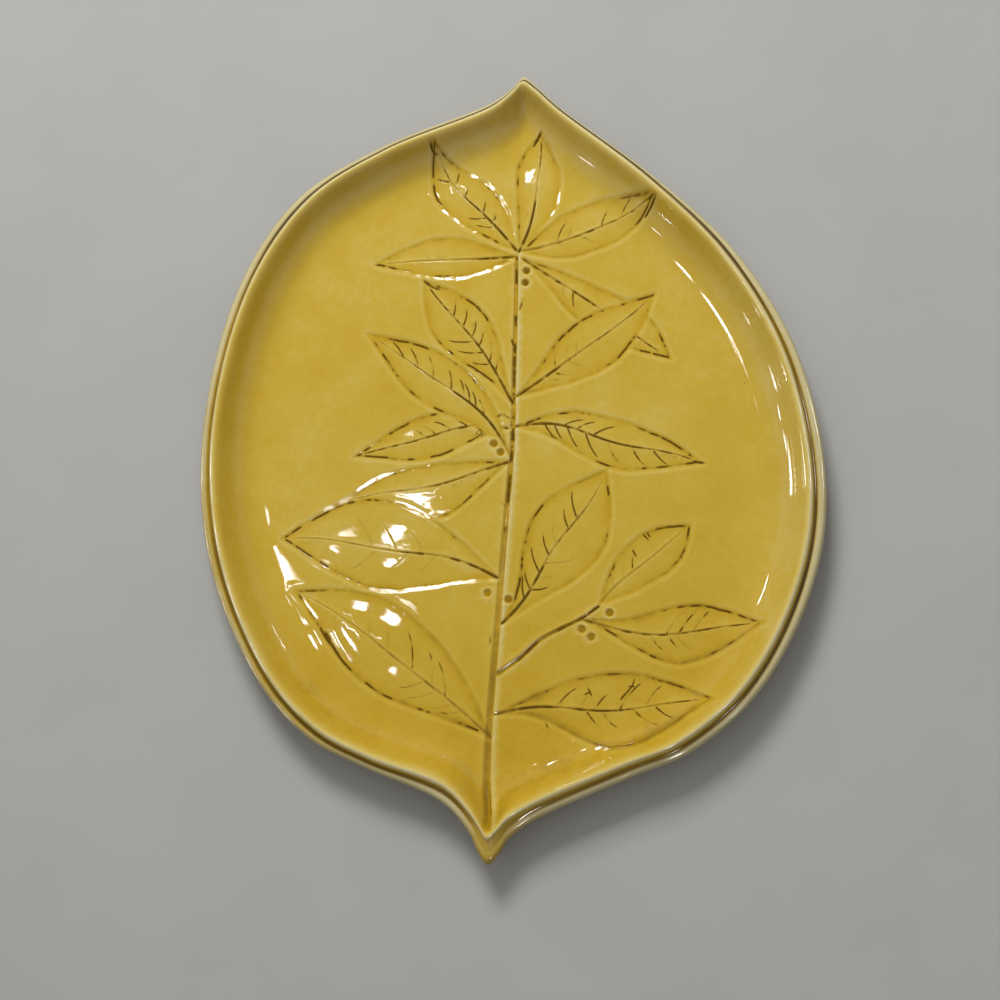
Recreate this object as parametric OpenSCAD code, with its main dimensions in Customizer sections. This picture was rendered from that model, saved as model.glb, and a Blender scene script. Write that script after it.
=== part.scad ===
// Leaf shaped stoneware plate: a rolled slab raised into a lipped dish, a band laid round
// its outside, a bead of pooled glaze between the two, a coil foot, and the print of a
// leafy sprig in the floor with dark stain left in its lines.
// +Z is up, +Y points to the blade's upper tip, and the origin is on the table under the
// middle of the plate. All lengths are millimetres.

/* [Plate] */
// Length of the plate, tip to tip
plate_l = 352; // [260:4:452]
// Width of the plate across the band
plate_w = 274; // [200:2:350]
// Height of the lip above the table
plate_h = 25; // [22:1:36]

/* [Dish slab] */
// Thickness of the rolled slab under the floor
slab_t = 6; // [4:0.5:8]
// Width of the rounded lip
lip_w = 5; // [3:0.5:6]
// Level run of the inner wall, from the lip to the floor
wall_run = 18; // [12:1:24]

/* [Rim band] */
// Width of the band at the plate's sides
band_w = 5; // [4:0.5:7]
// Height of the band
band_h = 6.5; // [5:0.5:8]
// Drop from the lip's crest to the band's crest
band_drop = 4.5; // [4:0.5:7]
// Depth of the seam between the band and the lip, below the band's crest
seam_depth = 1.5; // [1:0.25:2.5]

/* [Foot ring] */
// Height of the coil foot
foot_h = 4; // [2:0.5:5]
// Width of the coil foot
foot_w = 8; // [5:0.5:12]

/* [Sprig print] */
// Depth of the pressed lines below the floor
print_depth = 0.8; // [0.5:0.1:1.5]
// Thickness of the stain left in the lines
stain_t = 0.4; // [0.2:0.1:0.5]
// Width of the main stem at its cut end
stem_w = 3.6; // [2.5:0.1:5]
// Width of the side twig at its root
twig_w = 2.2; // [1.5:0.1:3]
// Diameter of a berry print
berry_d = 3.4; // [2.4:0.1:3.8]
// Width of a leaf's pressed edge at its widest
edge_w = 1.2; // [0.8:0.1:1.6]
// Width of a leaf's midrib at its root
rib_w = 1.4; // [1:0.1:1.8]
// Width of a side vein at its root
vein_w = 1.1; // [0.8:0.1:1.5]
// Gap between a leaf's lines and a leaf laid over them
lap_gap = 0.3; // [0.2:0.1:0.6]

/* [Hidden] */
half_l = plate_l / 2;
half_w = plate_w / 2;
floor_z = foot_h + slab_t;
band_top_z = plate_h - band_drop;
band_low_z = band_top_z - band_h;
seam_z = band_top_z - seam_depth;
// Spacing of the points along the outline
outline_step = 9;
// Overrun of the cuts past the face they start from
overrun = 1;

// Outline of the plate, from the stalk's end up the right side to the upper tip, and back
// down the left side, as shares of half the width and half the length
right_shares = [
    [0, -1], [0.035, -0.975], [0.06, -0.94], [0.12, -0.9], [0.42, -0.785],
    [0.61, -0.715], [0.81, -0.565], [0.96, -0.32], [1, -0.08], [0.915, 0.25],
    [0.72, 0.515], [0.44, 0.725], [0.12, 0.915], [0.04, 0.975], [0, 1]
];
left_shares = [
    [-0.03, 0.975], [-0.1, 0.93], [-0.47, 0.805], [-0.74, 0.665], [-0.92, 0.42],
    [-1, 0.03], [-0.94, -0.3], [-0.755, -0.585], [-0.58, -0.72], [-0.4, -0.785],
    [-0.15, -0.86], [-0.06, -0.93], [-0.03, -0.975]
];
outline_shares = concat(right_shares, left_shares);
// Share of the band's width at each point of the outline, widest at the stalk's end
band_right_shares = [1.75, 1.6, 1.15, 0.85, 0.75, 0.8, 0.85, 0.95, 1, 1, 0.9, 0.5, 0.35, 0.5, 0.7];
band_left_shares = [0.6, 0.6, 0.7, 1.05, 1.05, 0.95, 1, 0.85, 0.8, 0.65, 0.9, 1.25, 1.8];
band_width_shares = concat(band_right_shares, band_left_shares);
// How far along the middle line, as a share of its own height on the page, a point of the
// edge looks when it is set inwards
spine_share = 0.55;

// Lip section: share of the lip's width, and of its height above the seam
lip_section_shares = [[0.06, 0.2], [0.18, 0.6], [0.32, 0.87], [0.55, 1], [0.8, 0.9], [1, 0.7]];
// Inner wall section: share of the wall's run, and of its height above the floor
wall_section_shares = [[0.2, 0.6], [0.42, 0.31], [0.65, 0.12], [0.85, 0.03], [1, 0]];
// Underside section: share of the run to the flat base, and of the height to the band
under_section_shares = [[1, 0], [0.72, 0.12], [0.4, 0.46], [0, 1]];
base_run_share = 0.8;
// Band section past the seam: share of the way out, and of the band's height
band_section_shares = [[0.42, 1], [0.7, 0.93], [0.92, 0.7], [1, 0.42], [0.9, 0.14], [0.6, 0]];
// Where the glaze bead's edge lies: share of the way out, and of the seam's depth
bead_edge_shares = [0.18, 0.62];
// Place of the bead's middle between its edges, and its sag as a share of the seam's depth
bead_middle_share = 0.5;
bead_sag_share = 0.1;
// Size of the foot's outer edge as a share of the floor's outline
foot_share = 0.78;

// Main stem and side twig, as shares of half the width and half the length
stem_shares = [
    [0, -0.93], [-0.02, -0.8], [-0.02, -0.62], [-0.01, -0.415], [0, -0.18],
    [0.01, 0.04], [0.005, 0.2], [0, 0.41], [-0.005, 0.53]
];
twig_shares = [
    [-0.01, -0.55], [0.065, -0.505], [0.125, -0.46], [0.19, -0.43], [0.25, -0.405], [0.31, -0.37]
];
// Width left at the far end of a stem, rib or twig, as a share of its root
stem_tip_share = 0.45;
// Berries, as shares of half the width and half the length
berry_shares = [
    [0.03, 0.487], [0.028, 0.455], [-0.05, 0.03], [-0.027, 0.008], [-0.047, -0.348],
    [0.02, -0.362], [0.255, -0.43], [0.285, -0.448], [0.34, -0.388]
];
// Leaves: root and tip, as shares of half the width and half the length, then how far the
// left side, the right side and the midrib stand off the line between them at the stations,
// as shares of the leaf's length
leaf_shares = [
    [[-0.005, 0.54], [-0.29, 0.82], [0.13, 0.215, 0.215], [0.105, 0.135, 0.055], [0.01, 0.045, 0.065]],
    [[0, 0.535], [0.06, 0.86], [0.055, 0.11, 0.135], [0.155, 0.225, 0.175], [-0.05, -0.05, -0.035]],
    [[0.01, 0.54], [0.45, 0.675], [0.115, 0.155, 0.115], [0.155, 0.185, 0.15], [-0.035, -0.035, -0.025]],
    [[-0.005, 0.525], [-0.48, 0.5], [0.1, 0.125, 0.075], [0.11, 0.17, 0.12], [0, -0.005, -0.01]],
    [[0.015, 0.52], [0.51, 0.255], [0.07, 0.115, 0.13], [0.06, 0.12, 0.09], [0.005, 0.01, 0]],
    [[0.005, 0.135], [-0.31, 0.46], [0.05, 0.14, 0.135], [0.1, 0.185, 0.15], [-0.03, -0.035, -0.01]],
    [[0.005, 0], [-0.49, 0.315], [0.005, 0.08, 0.065], [0.14, 0.19, 0.135], [-0.07, -0.055, -0.03]],
    [[0.01, 0.15], [0.455, 0.43], [0.075, 0.14, 0.095], [0.105, 0.18, 0.14], [-0.01, -0.015, -0.02]],
    [[-0.005, 0.07], [-0.505, -0.01], [0.045, 0.105, 0.07], [0.14, 0.185, 0.115], [-0.06, -0.04, -0.02]],
    [[0.015, 0.075], [0.62, -0.01], [0.135, 0.145, 0.105], [0.035, 0.115, 0.085], [0.055, 0.02, 0.02]],
    [[0.005, -0.015], [-0.53, -0.13], [0.145, 0.22, 0.08], [0.065, 0.1, 0.095], [0.02, 0.03, 0]],
    [[-0.015, -0.31], [-0.725, -0.225], [0.075, 0.145, 0.1], [0.165, 0.255, 0.21], [-0.05, -0.035, -0.035]],
    [[0, -0.425], [0.315, -0.03], [0.06, 0.175, 0.15], [0.115, 0.22, 0.19], [-0.025, -0.005, -0.025]],
    [[-0.015, -0.7], [-0.67, -0.355], [0.07, 0.13, 0.09], [0.135, 0.195, 0.165], [-0.02, -0.025, -0.03]],
    [[0.31, -0.365], [0.585, -0.165], [0.16, 0.22, 0.18], [0.105, 0.165, 0.165], [0.025, 0.01, 0.005]],
    [[0.25, -0.405], [0.815, -0.405], [0.01, 0.085, 0.09], [0.125, 0.23, 0.165], [-0.06, -0.07, -0.025]],
    [[-0.01, -0.645], [0.67, -0.59], [0.1, 0.155, 0.12], [0.05, 0.185, 0.135], [0.02, -0.015, -0.005]]
];
// Pairs of leaves, counted from one, where the second lies over the first
over_pairs = [[2, 3], [4, 6], [5, 8], [7, 6], [9, 7], [9, 11], [11, 12], [14, 12], [17, 16]];
// Stretch of a leaf that its edge lines and its midrib follow
edge_span_share = [0.13, 0.96];
rib_span_share = [0.08, 0.88];
// First and last side vein along the leaf, how far each reaches to the edge and leans to the tip
vein_span_share = [0.24, 0.66];
vein_reach_share = 0.6;
vein_lean_share = 0.11;
// Setback of the veins on the left half against those on the right, in vein spacings
vein_setback_share = 0.5;
veins_per_side = 4;
line_steps = 10;

leaf_names = [for (k = [1:len(leaf_shares)]) str("leaf_inlay_", k < 10 ? "0" : "", k)];

clay_colour = "#C9AE52";
band_colour = "#D3C27E";
seam_colour = "#7A5C12";
foot_colour = "#CDB58C";
stain_colour = "#3C2D0C";

// Places on the plate, and small vector helpers
function place(share) = [share[0] * half_w, share[1] * half_l];
function unit(v) = v / norm(v);
function across(v) = [-v[1], v[0]];
function mix(a, b, share) = a + (b - a) * share;

// Spline through the points of a closed loop, with knots spaced by the root of the chords
function knot(a, b) = sqrt(norm(b - a));
function blend(a, b, ta, tb, t) = (a * (tb - t) + b * (t - ta)) / (tb - ta);
function spline(p0, p1, p2, p3, share) =
    let (
        t0 = 0,
        t1 = knot(p0, p1),
        t2 = t1 + knot(p1, p2),
        t3 = t2 + knot(p2, p3),
        t = mix(t1, t2, share),
        a1 = blend(p0, p1, t0, t1, t),
        a2 = blend(p1, p2, t1, t2, t),
        a3 = blend(p2, p3, t2, t3, t)
    )
    blend(blend(a1, a2, t0, t2, t), blend(a2, a3, t1, t3, t), t1, t2, t);
function loop_at(points, k, share) =
    let (n = len(points))
    spline(points[(k + n - 1) % n], points[k], points[(k + 1) % n], points[(k + 2) % n], share);

// The outline's points set inwards along the line to their place on the spine
function inward(p) = unit([0, spine_share * p[1]] - p);
outline_knots = [for (s = outline_shares) place(s)];
edge_knots = [
    for (k = [0:len(outline_knots) - 1])
        outline_knots[k] + inward(outline_knots[k]) * band_w * band_width_shares[k]
];
// Each sample is a stretch of the outline and a share of the way along it
knots = len(outline_knots);
samples = [
    for (k = [0:knots - 1])
        let (
            chord = norm(outline_knots[(k + 1) % knots] - outline_knots[k]),
            steps = max(1, round(chord / outline_step))
        )
        for (j = [0:steps - 1]) [k, j / steps]
];
outline = [for (s = samples) loop_at(outline_knots, s[0], s[1])];
edge = [for (s = samples) loop_at(edge_knots, s[0], s[1])];
around = len(samples);

// Level rings: set in from the dish's edge, or out across the band
function ring_in(inset, z) = [for (p = edge) let (q = p + inward(p) * inset) [q[0], q[1], z]];
function ring_out(share, z) = [
    for (i = [0:around - 1]) let (q = mix(edge[i], outline[i], share)) [q[0], q[1], z]
];
floor_outline = [for (p = edge) p + inward(p) * (lip_w + wall_run)];

// Sections of the dish, the band and the bead, each a list of rings
function lip_ring(share) = ring_in(share[0] * lip_w, mix(seam_z, plate_h, share[1]));
lip_foot_z = mix(seam_z, plate_h, lip_section_shares[len(lip_section_shares) - 1][1]);
base_run = lip_w + wall_run * base_run_share;
dish_rings = concat(
    [for (s = under_section_shares) ring_in(s[0] * base_run, mix(foot_h, band_low_z, s[1]))],
    [ring_in(0, seam_z)],
    [for (s = lip_section_shares) lip_ring(s)],
    [for (s = wall_section_shares) ring_in(lip_w + s[0] * wall_run, mix(floor_z, lip_foot_z, s[1]))]
);
bead_band_ring = ring_out(bead_edge_shares[0], seam_z + bead_edge_shares[1] * seam_depth);
bead_lip_ring = lip_ring(lip_section_shares[0]);
band_rings = concat(
    [ring_in(0, band_low_z), ring_in(0, seam_z), bead_band_ring],
    [for (s = band_section_shares) ring_out(s[0], mix(band_low_z, band_top_z, s[1]))]
);
bead_middle_ring = [
    for (i = [0:around - 1])
        mix(bead_lip_ring[i], bead_band_ring[i], bead_middle_share) - [0, 0, bead_sag_share * seam_depth]
];
bead_rings = [ring_in(0, seam_z), bead_lip_ring, bead_middle_ring, bead_band_ring];

// Faces between neighbouring rings, each quad split along its shorter diagonal so that
// pieces that share two rings share their facets too
function flat_list(lists) = [for (l = lists) for (x = l) x];
function flipped(faces) = [for (f = faces) [f[2], f[1], f[0]]];
function quad(points, a, b, c, d) =
    norm(points[a] - points[c]) <= norm(points[b] - points[d])
        ? [[a, b, c], [a, c, d]]
        : [[a, b, d], [b, c, d]];
function strip(points, low, high) = flat_list([
    for (i = [0:around - 1])
        let (j = (i + 1) % around)
        quad(points, low * around + i, high * around + i, high * around + j, low * around + j)
]);
function cap(ring, middle) = [
    for (i = [0:around - 1]) [ring * around + i, ring * around + (i + 1) % around, middle]
];

// A solid with open rings, closed by a flat face at its first and last ring
module capped_loft(rings) {
    ends = [[0, 0, rings[0][0][2]], [0, 0, rings[len(rings) - 1][0][2]]];
    points = concat(flat_list(rings), ends);
    base = len(rings) * around;
    walls = flat_list([for (r = [0:len(rings) - 2]) strip(points, r, r + 1)]);
    caps = concat(cap(0, base), flipped(cap(len(rings) - 1, base + 1)));
    polyhedron(points = points, faces = concat(walls, caps));
}

// A solid whose rings close on themselves, like a bent tube
module closed_loft(rings) {
    points = flat_list(rings);
    walls = flat_list([for (r = [0:len(rings) - 1]) strip(points, r, (r + 1) % len(rings))]);
    polyhedron(points = points, faces = flipped(walls));
}

// A smooth curve that starts and ends on the line and passes through three shares at one,
// two and three quarters of the way
function curve_at(shares, along) =
    let (
        ends = (shares[0] + shares[2]) / sqrt(2),
        first = (ends + shares[1]) / 2,
        second = (shares[0] - shares[2]) / 2,
        third = (ends - shares[1]) / 2
    )
    first * sin(180 * along) + second * sin(360 * along) + third * sin(540 * along);

// Points of a leaf: along its root-to-tip line, and a length to the left of it
function leaf_root(leaf) = place(leaf[0]);
function leaf_tip(leaf) = place(leaf[1]);
function leaf_length(leaf) = norm(leaf_tip(leaf) - leaf_root(leaf));
function leaf_point(leaf, along, aside) =
    let (axis = leaf_tip(leaf) - leaf_root(leaf))
    leaf_root(leaf) + axis * along + unit(across(axis)) * aside;
function half_width(leaf, side, along) = curve_at(side > 0 ? leaf[2] : leaf[3], along) * leaf_length(leaf);
function rib_aside(leaf, along) = curve_at(leaf[4], along) * leaf_length(leaf);
function steps_over(span, steps) = [for (k = [0:steps]) mix(span[0], span[1], k / steps)];
function reversed(list) = [for (k = [len(list) - 1:-1:0]) list[k]];

// One pressed edge of a leaf: a crescent that fades at both ends
function edge_line(leaf, side) =
    let (
        alongs = steps_over(edge_span_share, line_steps),
        outer = [for (t = alongs) leaf_point(leaf, t, side * half_width(leaf, side, t))],
        inner = [
            for (k = [1:line_steps - 1])
                let (t = alongs[k], w = edge_w * sin(180 * k / line_steps))
                leaf_point(leaf, t, side * (half_width(leaf, side, t) - w))
        ]
    )
    concat(outer, reversed(inner));

// One side of the midrib, with its veins standing out of it as long points
function rib_half(leaf, along) =
    let (share = (along - rib_span_share[0]) / (rib_span_share[1] - rib_span_share[0]))
    rib_w * mix(1, stem_tip_share, share) / 2;
function rib_side(leaf, side, along) =
    leaf_point(leaf, along, rib_aside(leaf, along) + side * rib_half(leaf, along));
function vein_end(leaf, side, along) =
    let (
        t = along + vein_lean_share,
        rib = rib_aside(leaf, t),
        reach = side * half_width(leaf, side, t) - rib
    )
    leaf_point(leaf, t, rib + reach * vein_reach_share);
function rib_line(leaf, side) =
    let (
        setback = side > 0 ? vein_setback_share : 0,
        spaces = veins_per_side - 1 + vein_setback_share,
        root = vein_w / leaf_length(leaf) / 2
    )
    concat(
        [rib_side(leaf, side, rib_span_share[0])],
        flat_list([
            for (k = [0:veins_per_side - 1])
                let (t = mix(vein_span_share[0], vein_span_share[1], (k + setback) / spaces))
                [rib_side(leaf, side, t - root), vein_end(leaf, side, t), rib_side(leaf, side, t + root)]
        ]),
        [rib_side(leaf, side, rib_span_share[1])]
    );

// Flat shapes of the print
module floor_shape() {
    polygon(floor_outline);
}

module leaf_blade(leaf) {
    alongs = steps_over([0, 1], line_steps);
    left = [for (t = alongs) leaf_point(leaf, t, half_width(leaf, 1, t))];
    right = [for (k = [1:line_steps - 1]) leaf_point(leaf, alongs[k], -half_width(leaf, -1, alongs[k]))];
    polygon(concat(left, reversed(right)));
}

module tapered_line(shares, root_w) {
    points = [for (s = shares) place(s)];
    last = len(points) - 1;
    sides = [
        for (k = [0:last])
            let (
                run = points[min(last, k + 1)] - points[max(0, k - 1)],
                w = root_w * mix(1, stem_tip_share, k / last)
            )
            unit(across(run)) * w / 2
    ];
    polygon(concat(
        [for (k = [0:last]) points[k] + sides[k]],
        [for (k = [last:-1:0]) points[k] - sides[k]]
    ));
}

module stem_shape() {
    intersection() {
        tapered_line(stem_shares, stem_w);
        floor_shape();
    }
}

module twig_shape() {
    difference() {
        tapered_line(twig_shares, twig_w);
        tapered_line(stem_shares, stem_w);
    }
}

module berry_shapes() {
    for (s = berry_shares) {
        translate(place(s)) circle(d = berry_d, $fn = 24);
    }
}

module edge_lines(leaf) {
    polygon(edge_line(leaf, 1));
    polygon(edge_line(leaf, -1));
}

// What a leaf hides of the leaves under it
module leaf_cover(leaf) {
    offset(delta = lap_gap) {
        leaf_blade(leaf);
        edge_lines(leaf);
    }
}

module leaf_shape(number) {
    leaf = leaf_shares[number - 1];
    difference() {
        intersection() {
            union() {
                edge_lines(leaf);
                polygon(concat(rib_line(leaf, 1), reversed(rib_line(leaf, -1))));
            }
            floor_shape();
        }
        tapered_line(stem_shares, stem_w);
        berry_shapes();
        for (pair = over_pairs) {
            if (pair[0] == number) leaf_cover(leaf_shares[pair[1] - 1]);
        }
    }
}

module pressed(height) {
    translate([0, 0, floor_z - print_depth]) linear_extrude(height) children();
}

module dish_slab() {
    color(clay_colour) difference() {
        capped_loft(dish_rings);
        pressed(print_depth + overrun) stem_shape();
        pressed(print_depth + overrun) twig_shape();
        pressed(print_depth + overrun) berry_shapes();
        for (number = [1:len(leaf_shares)]) {
            pressed(print_depth + overrun) leaf_shape(number);
        }
    }
}

module rim_band() {
    color(band_colour) closed_loft(band_rings);
}

module seam_glaze() {
    color(seam_colour) closed_loft(bead_rings);
}

module foot_ring() {
    outer = [for (p = floor_outline) p * foot_share];
    inner = [for (p = outer) p + inward(p) * foot_w];
    color(foot_colour) linear_extrude(foot_h) difference() {
        polygon(outer);
        polygon(inner);
    }
}

module stem_inlay() {
    color(stain_colour) pressed(stain_t) stem_shape();
}

module twig_inlay() {
    color(stain_colour) pressed(stain_t) twig_shape();
}

module berry_inlays() {
    color(stain_colour) pressed(stain_t) berry_shapes();
}

module leaf_inlay(number) {
    color(stain_colour) pressed(stain_t) leaf_shape(number);
}

dish_slab();
rim_band();
seam_glaze();
foot_ring();
stem_inlay();
twig_inlay();
berry_inlays();
for (number = [1:len(leaf_shares)]) {
    leaf_inlay(number);
}
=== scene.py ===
"""Looks of a hand-built leaf shaped stoneware plate, dressed over its CAD frame.

The plate is a lipped dish with a band laid round its outside, a bead of pooled glaze in the
seam between the two, a coil foot, and the print of a leafy sprig pressed into its floor, with
iron stain left in the lines. Shapes are worked out in millimetres, in the frame's axes, and
turned to metres when a mesh is made.
"""

import logging
import math
from collections.abc import Callable, Sequence
from dataclasses import dataclass, field, replace
from enum import Enum
from typing import ClassVar

import bmesh
import bpy
import numpy as np
from mathutils import Matrix, Vector
from mathutils.geometry import delaunay_2d_cdt


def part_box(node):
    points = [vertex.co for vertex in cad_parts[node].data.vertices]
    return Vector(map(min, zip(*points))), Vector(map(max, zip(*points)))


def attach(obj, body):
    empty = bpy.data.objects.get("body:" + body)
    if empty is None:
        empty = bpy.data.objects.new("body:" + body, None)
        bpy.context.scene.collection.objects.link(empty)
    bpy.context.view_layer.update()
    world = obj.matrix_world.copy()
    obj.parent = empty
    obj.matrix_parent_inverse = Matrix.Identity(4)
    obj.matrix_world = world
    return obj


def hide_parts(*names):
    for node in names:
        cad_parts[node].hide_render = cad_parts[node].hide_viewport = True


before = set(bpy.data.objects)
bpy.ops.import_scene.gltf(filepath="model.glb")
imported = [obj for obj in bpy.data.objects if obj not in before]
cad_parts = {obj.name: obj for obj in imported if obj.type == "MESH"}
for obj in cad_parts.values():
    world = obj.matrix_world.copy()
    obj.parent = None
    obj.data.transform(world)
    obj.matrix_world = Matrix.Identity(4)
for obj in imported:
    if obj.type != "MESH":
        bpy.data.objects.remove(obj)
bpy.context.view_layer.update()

LOG = logging.getLogger("plate")
MM = 0.001
# Factors that scatter a few keys into numbers that look unrelated to them.
KEY_FACTORS = (12.9898, 78.233, 37.719)
SCATTER = 43758.5453
Array = np.ndarray
Pair = tuple[float, float]
Triple = tuple[float, float, float]

# Outline of the plate, from the stalk's end up the right side to the upper tip and back down
# the left side, as shares of half the width and half the length.
OUTLINE_SHARES: tuple[Pair, ...] = (
    (0, -1), (0.035, -0.975), (0.06, -0.94), (0.12, -0.9), (0.42, -0.785), (0.61, -0.715),
    (0.81, -0.565), (0.96, -0.32), (1, -0.08), (0.915, 0.25), (0.72, 0.515), (0.44, 0.725),
    (0.12, 0.915), (0.04, 0.975), (0, 1), (-0.03, 0.975), (-0.1, 0.93), (-0.47, 0.805),
    (-0.74, 0.665), (-0.92, 0.42), (-1, 0.03), (-0.94, -0.3), (-0.755, -0.585), (-0.58, -0.72),
    (-0.4, -0.785), (-0.15, -0.86), (-0.06, -0.93), (-0.03, -0.975),
)
# Width of the band at each of those points, as a share of its width at the plate's sides.
BAND_SHARES: tuple[float, ...] = (
    1.75, 1.6, 1.15, 0.85, 0.75, 0.8, 0.85, 0.95, 1, 1, 0.9, 0.5, 0.35, 0.5, 0.7,
    0.6, 0.6, 0.7, 1.05, 1.05, 0.95, 1, 0.85, 0.8, 0.65, 0.9, 1.25, 1.8,
)
# Steps in each stretch of a section's curve, and height of an even triangle as a share of its side.
SECTION_STEPS = 4
TRIANGLE_SHARE = math.sqrt(0.75)
# Sections, each as shares of a run and of a rise: lip, inner wall, underside, band and foot.
LIP_SHARES: tuple[Pair, ...] = (
    (0, 0), (0.06, 0.2), (0.18, 0.6), (0.32, 0.87), (0.55, 1), (0.8, 0.9), (1, 0.7),
)
WALL_SHARES: tuple[Pair, ...] = (
    (0.2, 0.6), (0.42, 0.31), (0.65, 0.13), (0.85, 0.056), (1, 0.029),
    (1.18, 0.012), (1.4, 0.003), (1.62, 0),
)
UNDER_SHARES: tuple[Pair, ...] = ((0, 1), (0.4, 0.46), (0.72, 0.12), (1, 0))
BAND_SECTION_SHARES: tuple[Pair, ...] = (
    (0.18, 0.92), (0.42, 1), (0.7, 0.93), (0.92, 0.7), (1, 0.42), (0.9, 0.14), (0.6, 0),
)
FOOT_SECTION_SHARES: tuple[Pair, ...] = (
    (0, 1), (0, 0.35), (0.025, 0.18), (0.08, 0.06), (0.17, 0),
    (0.83, 0), (0.92, 0.06), (0.975, 0.18), (1, 0.35), (1, 1),
)


def smooth_step(value: Array, low: float, high: float) -> Array:
    """Ease from nought at low to one at high."""
    share = np.clip((value - low) / (high - low), 0.0, 1.0)
    return share * share * (3.0 - 2.0 * share)


def hill(value: Array, middle: float | Array, width: float | Array) -> Array:
    """A rounded hill of height one, with the given half width."""
    return np.exp(-(((value - middle) / width) ** 2))


def vary(*keys: float) -> float:
    """A fixed number from nought to one that looks unrelated to the keys."""
    mixed = sum(key * factor for key, factor in zip(keys, KEY_FACTORS, strict=False))
    return (math.sin(mixed) * SCATTER) % 1.0


def uneven(along: Array, size: float, seed: float) -> Array:
    """An irregular wave along a line, from minus one to one.

    Args:
        along: rising lengths along the line.
        size: about how long a hill is.
        seed: sets where the hills fall.

    Returns:
        The wave's height at each length.
    """
    knots = np.arange(int(along[-1] / size) + 3)
    heights = [2 * vary(k, seed, size) - 1 for k in knots]
    return np.interp(along / size + vary(seed, size), knots, heights)


def spline_stretch(p0: Array, p1: Array, p2: Array, p3: Array, shares: Array) -> Array:
    """Points between p1 and p2 on a curve whose knots are spaced by the root of the chords.

    Args:
        p0, p1, p2, p3: four neighbouring points of the curve.
        shares: how far each wanted point lies from p1 to p2.

    Returns:
        One point for each share.
    """
    spans = ((p0, p1), (p1, p2), (p2, p3))
    knots = np.cumsum([0.0] + [math.sqrt(np.linalg.norm(b - a)) for a, b in spans])
    t = (knots[1] + (knots[2] - knots[1]) * shares)[:, None]

    def blend(a: Array, b: Array, first: int, last: int) -> Array:
        """Straight blend of two points between two knots."""
        return (a * (knots[last] - t) + b * (t - knots[first])) / (knots[last] - knots[first])

    a1, a2, a3 = blend(p0, p1, 0, 1), blend(p1, p2, 1, 2), blend(p2, p3, 2, 3)
    return blend(blend(a1, a2, 0, 2), blend(a2, a3, 1, 3), 1, 2)


def spline_loop(knots: Array, steps: Sequence[int]) -> Array:
    """A closed curve through some knots.

    Args:
        knots: points that it goes through.
        steps: how many steps each stretch gets.

    Returns:
        The curve's points.
    """
    count = len(knots)
    return np.concatenate([
        spline_stretch(*(knots[(k + j) % count] for j in (-1, 0, 1, 2)), np.arange(n) / n)
        for k, n in enumerate(steps)
    ])


def spline_chain(knots: Array, steps: int) -> Array:
    """An open curve through some knots.

    Args:
        knots: points that it goes through.
        steps: how many steps every stretch gets.

    Returns:
        The curve's points.
    """
    padded = np.vstack([2 * knots[0] - knots[1], knots, 2 * knots[-1] - knots[-2]])
    shares = np.arange(steps) / steps
    parts = [spline_stretch(*padded[k:k + 4], shares) for k in range(len(knots) - 1)]
    return np.concatenate([*parts, knots[-1:]])


def even_path(points: Array, spacing: float) -> Array:
    """The same path with points at even steps.

    Args:
        points: the path's points.
        spacing: about how far apart the new ones lie.

    Returns:
        The new points.
    """
    along = lengths_along(points)
    wanted = np.linspace(0.0, along[-1], max(2, round(along[-1] / spacing) + 1))
    return np.stack([np.interp(wanted, along, points[:, axis]) for axis in (0, 1)], axis=1)


def lengths_along(points: Array) -> Array:
    """Length of the path up to each of its points."""
    return np.concatenate([[0.0], np.cumsum(np.linalg.norm(np.diff(points, axis=0), axis=1))])


def left_of(path: Array) -> Array:
    """Unit vectors that point to the left of a path.

    Args:
        path: the path's points.

    Returns:
        One vector for each point.
    """
    run = np.gradient(path, axis=0)
    run /= np.linalg.norm(run, axis=1)[:, None]
    return np.stack([-run[:, 1], run[:, 0]], axis=1)


def at_level(points: Array, level: float | Array) -> Array:
    """Plan points raised to one level, or each to its own."""
    return np.column_stack([points, np.broadcast_to(level, len(points))])


def unit_circle(sides: int) -> Array:
    """Points at even steps round a circle of radius one."""
    turn = np.linspace(0, 2 * np.pi, sides, endpoint=False)
    return np.stack([np.cos(turn), np.sin(turn)], axis=1)


def near_to(points: Array, path: Array, margin: float) -> Array:
    """Numbers of the points that lie in the box round a path, grown by a margin."""
    return np.flatnonzero(((points > path.min(0) - margin) & (points < path.max(0) + margin)).all(1))


def monotone_curve(knots: Array, at: Array) -> Array:
    """Heights of a smooth curve through the knots that never overshoots them.

    Args:
        knots: rows of place and height, in rising order of place.
        at: places where the height is wanted, held to the knots' span; the curve ends level.

    Returns:
        The height at each place.
    """
    xs, ys = knots[:, 0], knots[:, 1]
    gaps = np.diff(xs)
    slopes = np.diff(ys) / gaps
    product = slopes[:-1] * slopes[1:]
    total = slopes[:-1] + slopes[1:]
    inner = np.where(product > 0, 2 * product / np.where(total == 0, 1, total), 0.0)
    tangents = np.concatenate([slopes[:1], inner, [0.0]])
    k = np.clip(np.searchsorted(xs, at) - 1, 0, len(gaps) - 1)
    t = np.clip((at - xs[k]) / gaps[k], 0.0, 1.0)
    ease = t * t * (3 - 2 * t)
    lean = (tangents[k] * (1 - t) - tangents[k + 1] * t) * t * (1 - t) * gaps[k]
    return ys[k] * (1 - ease) + ys[k + 1] * ease + lean


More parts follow.
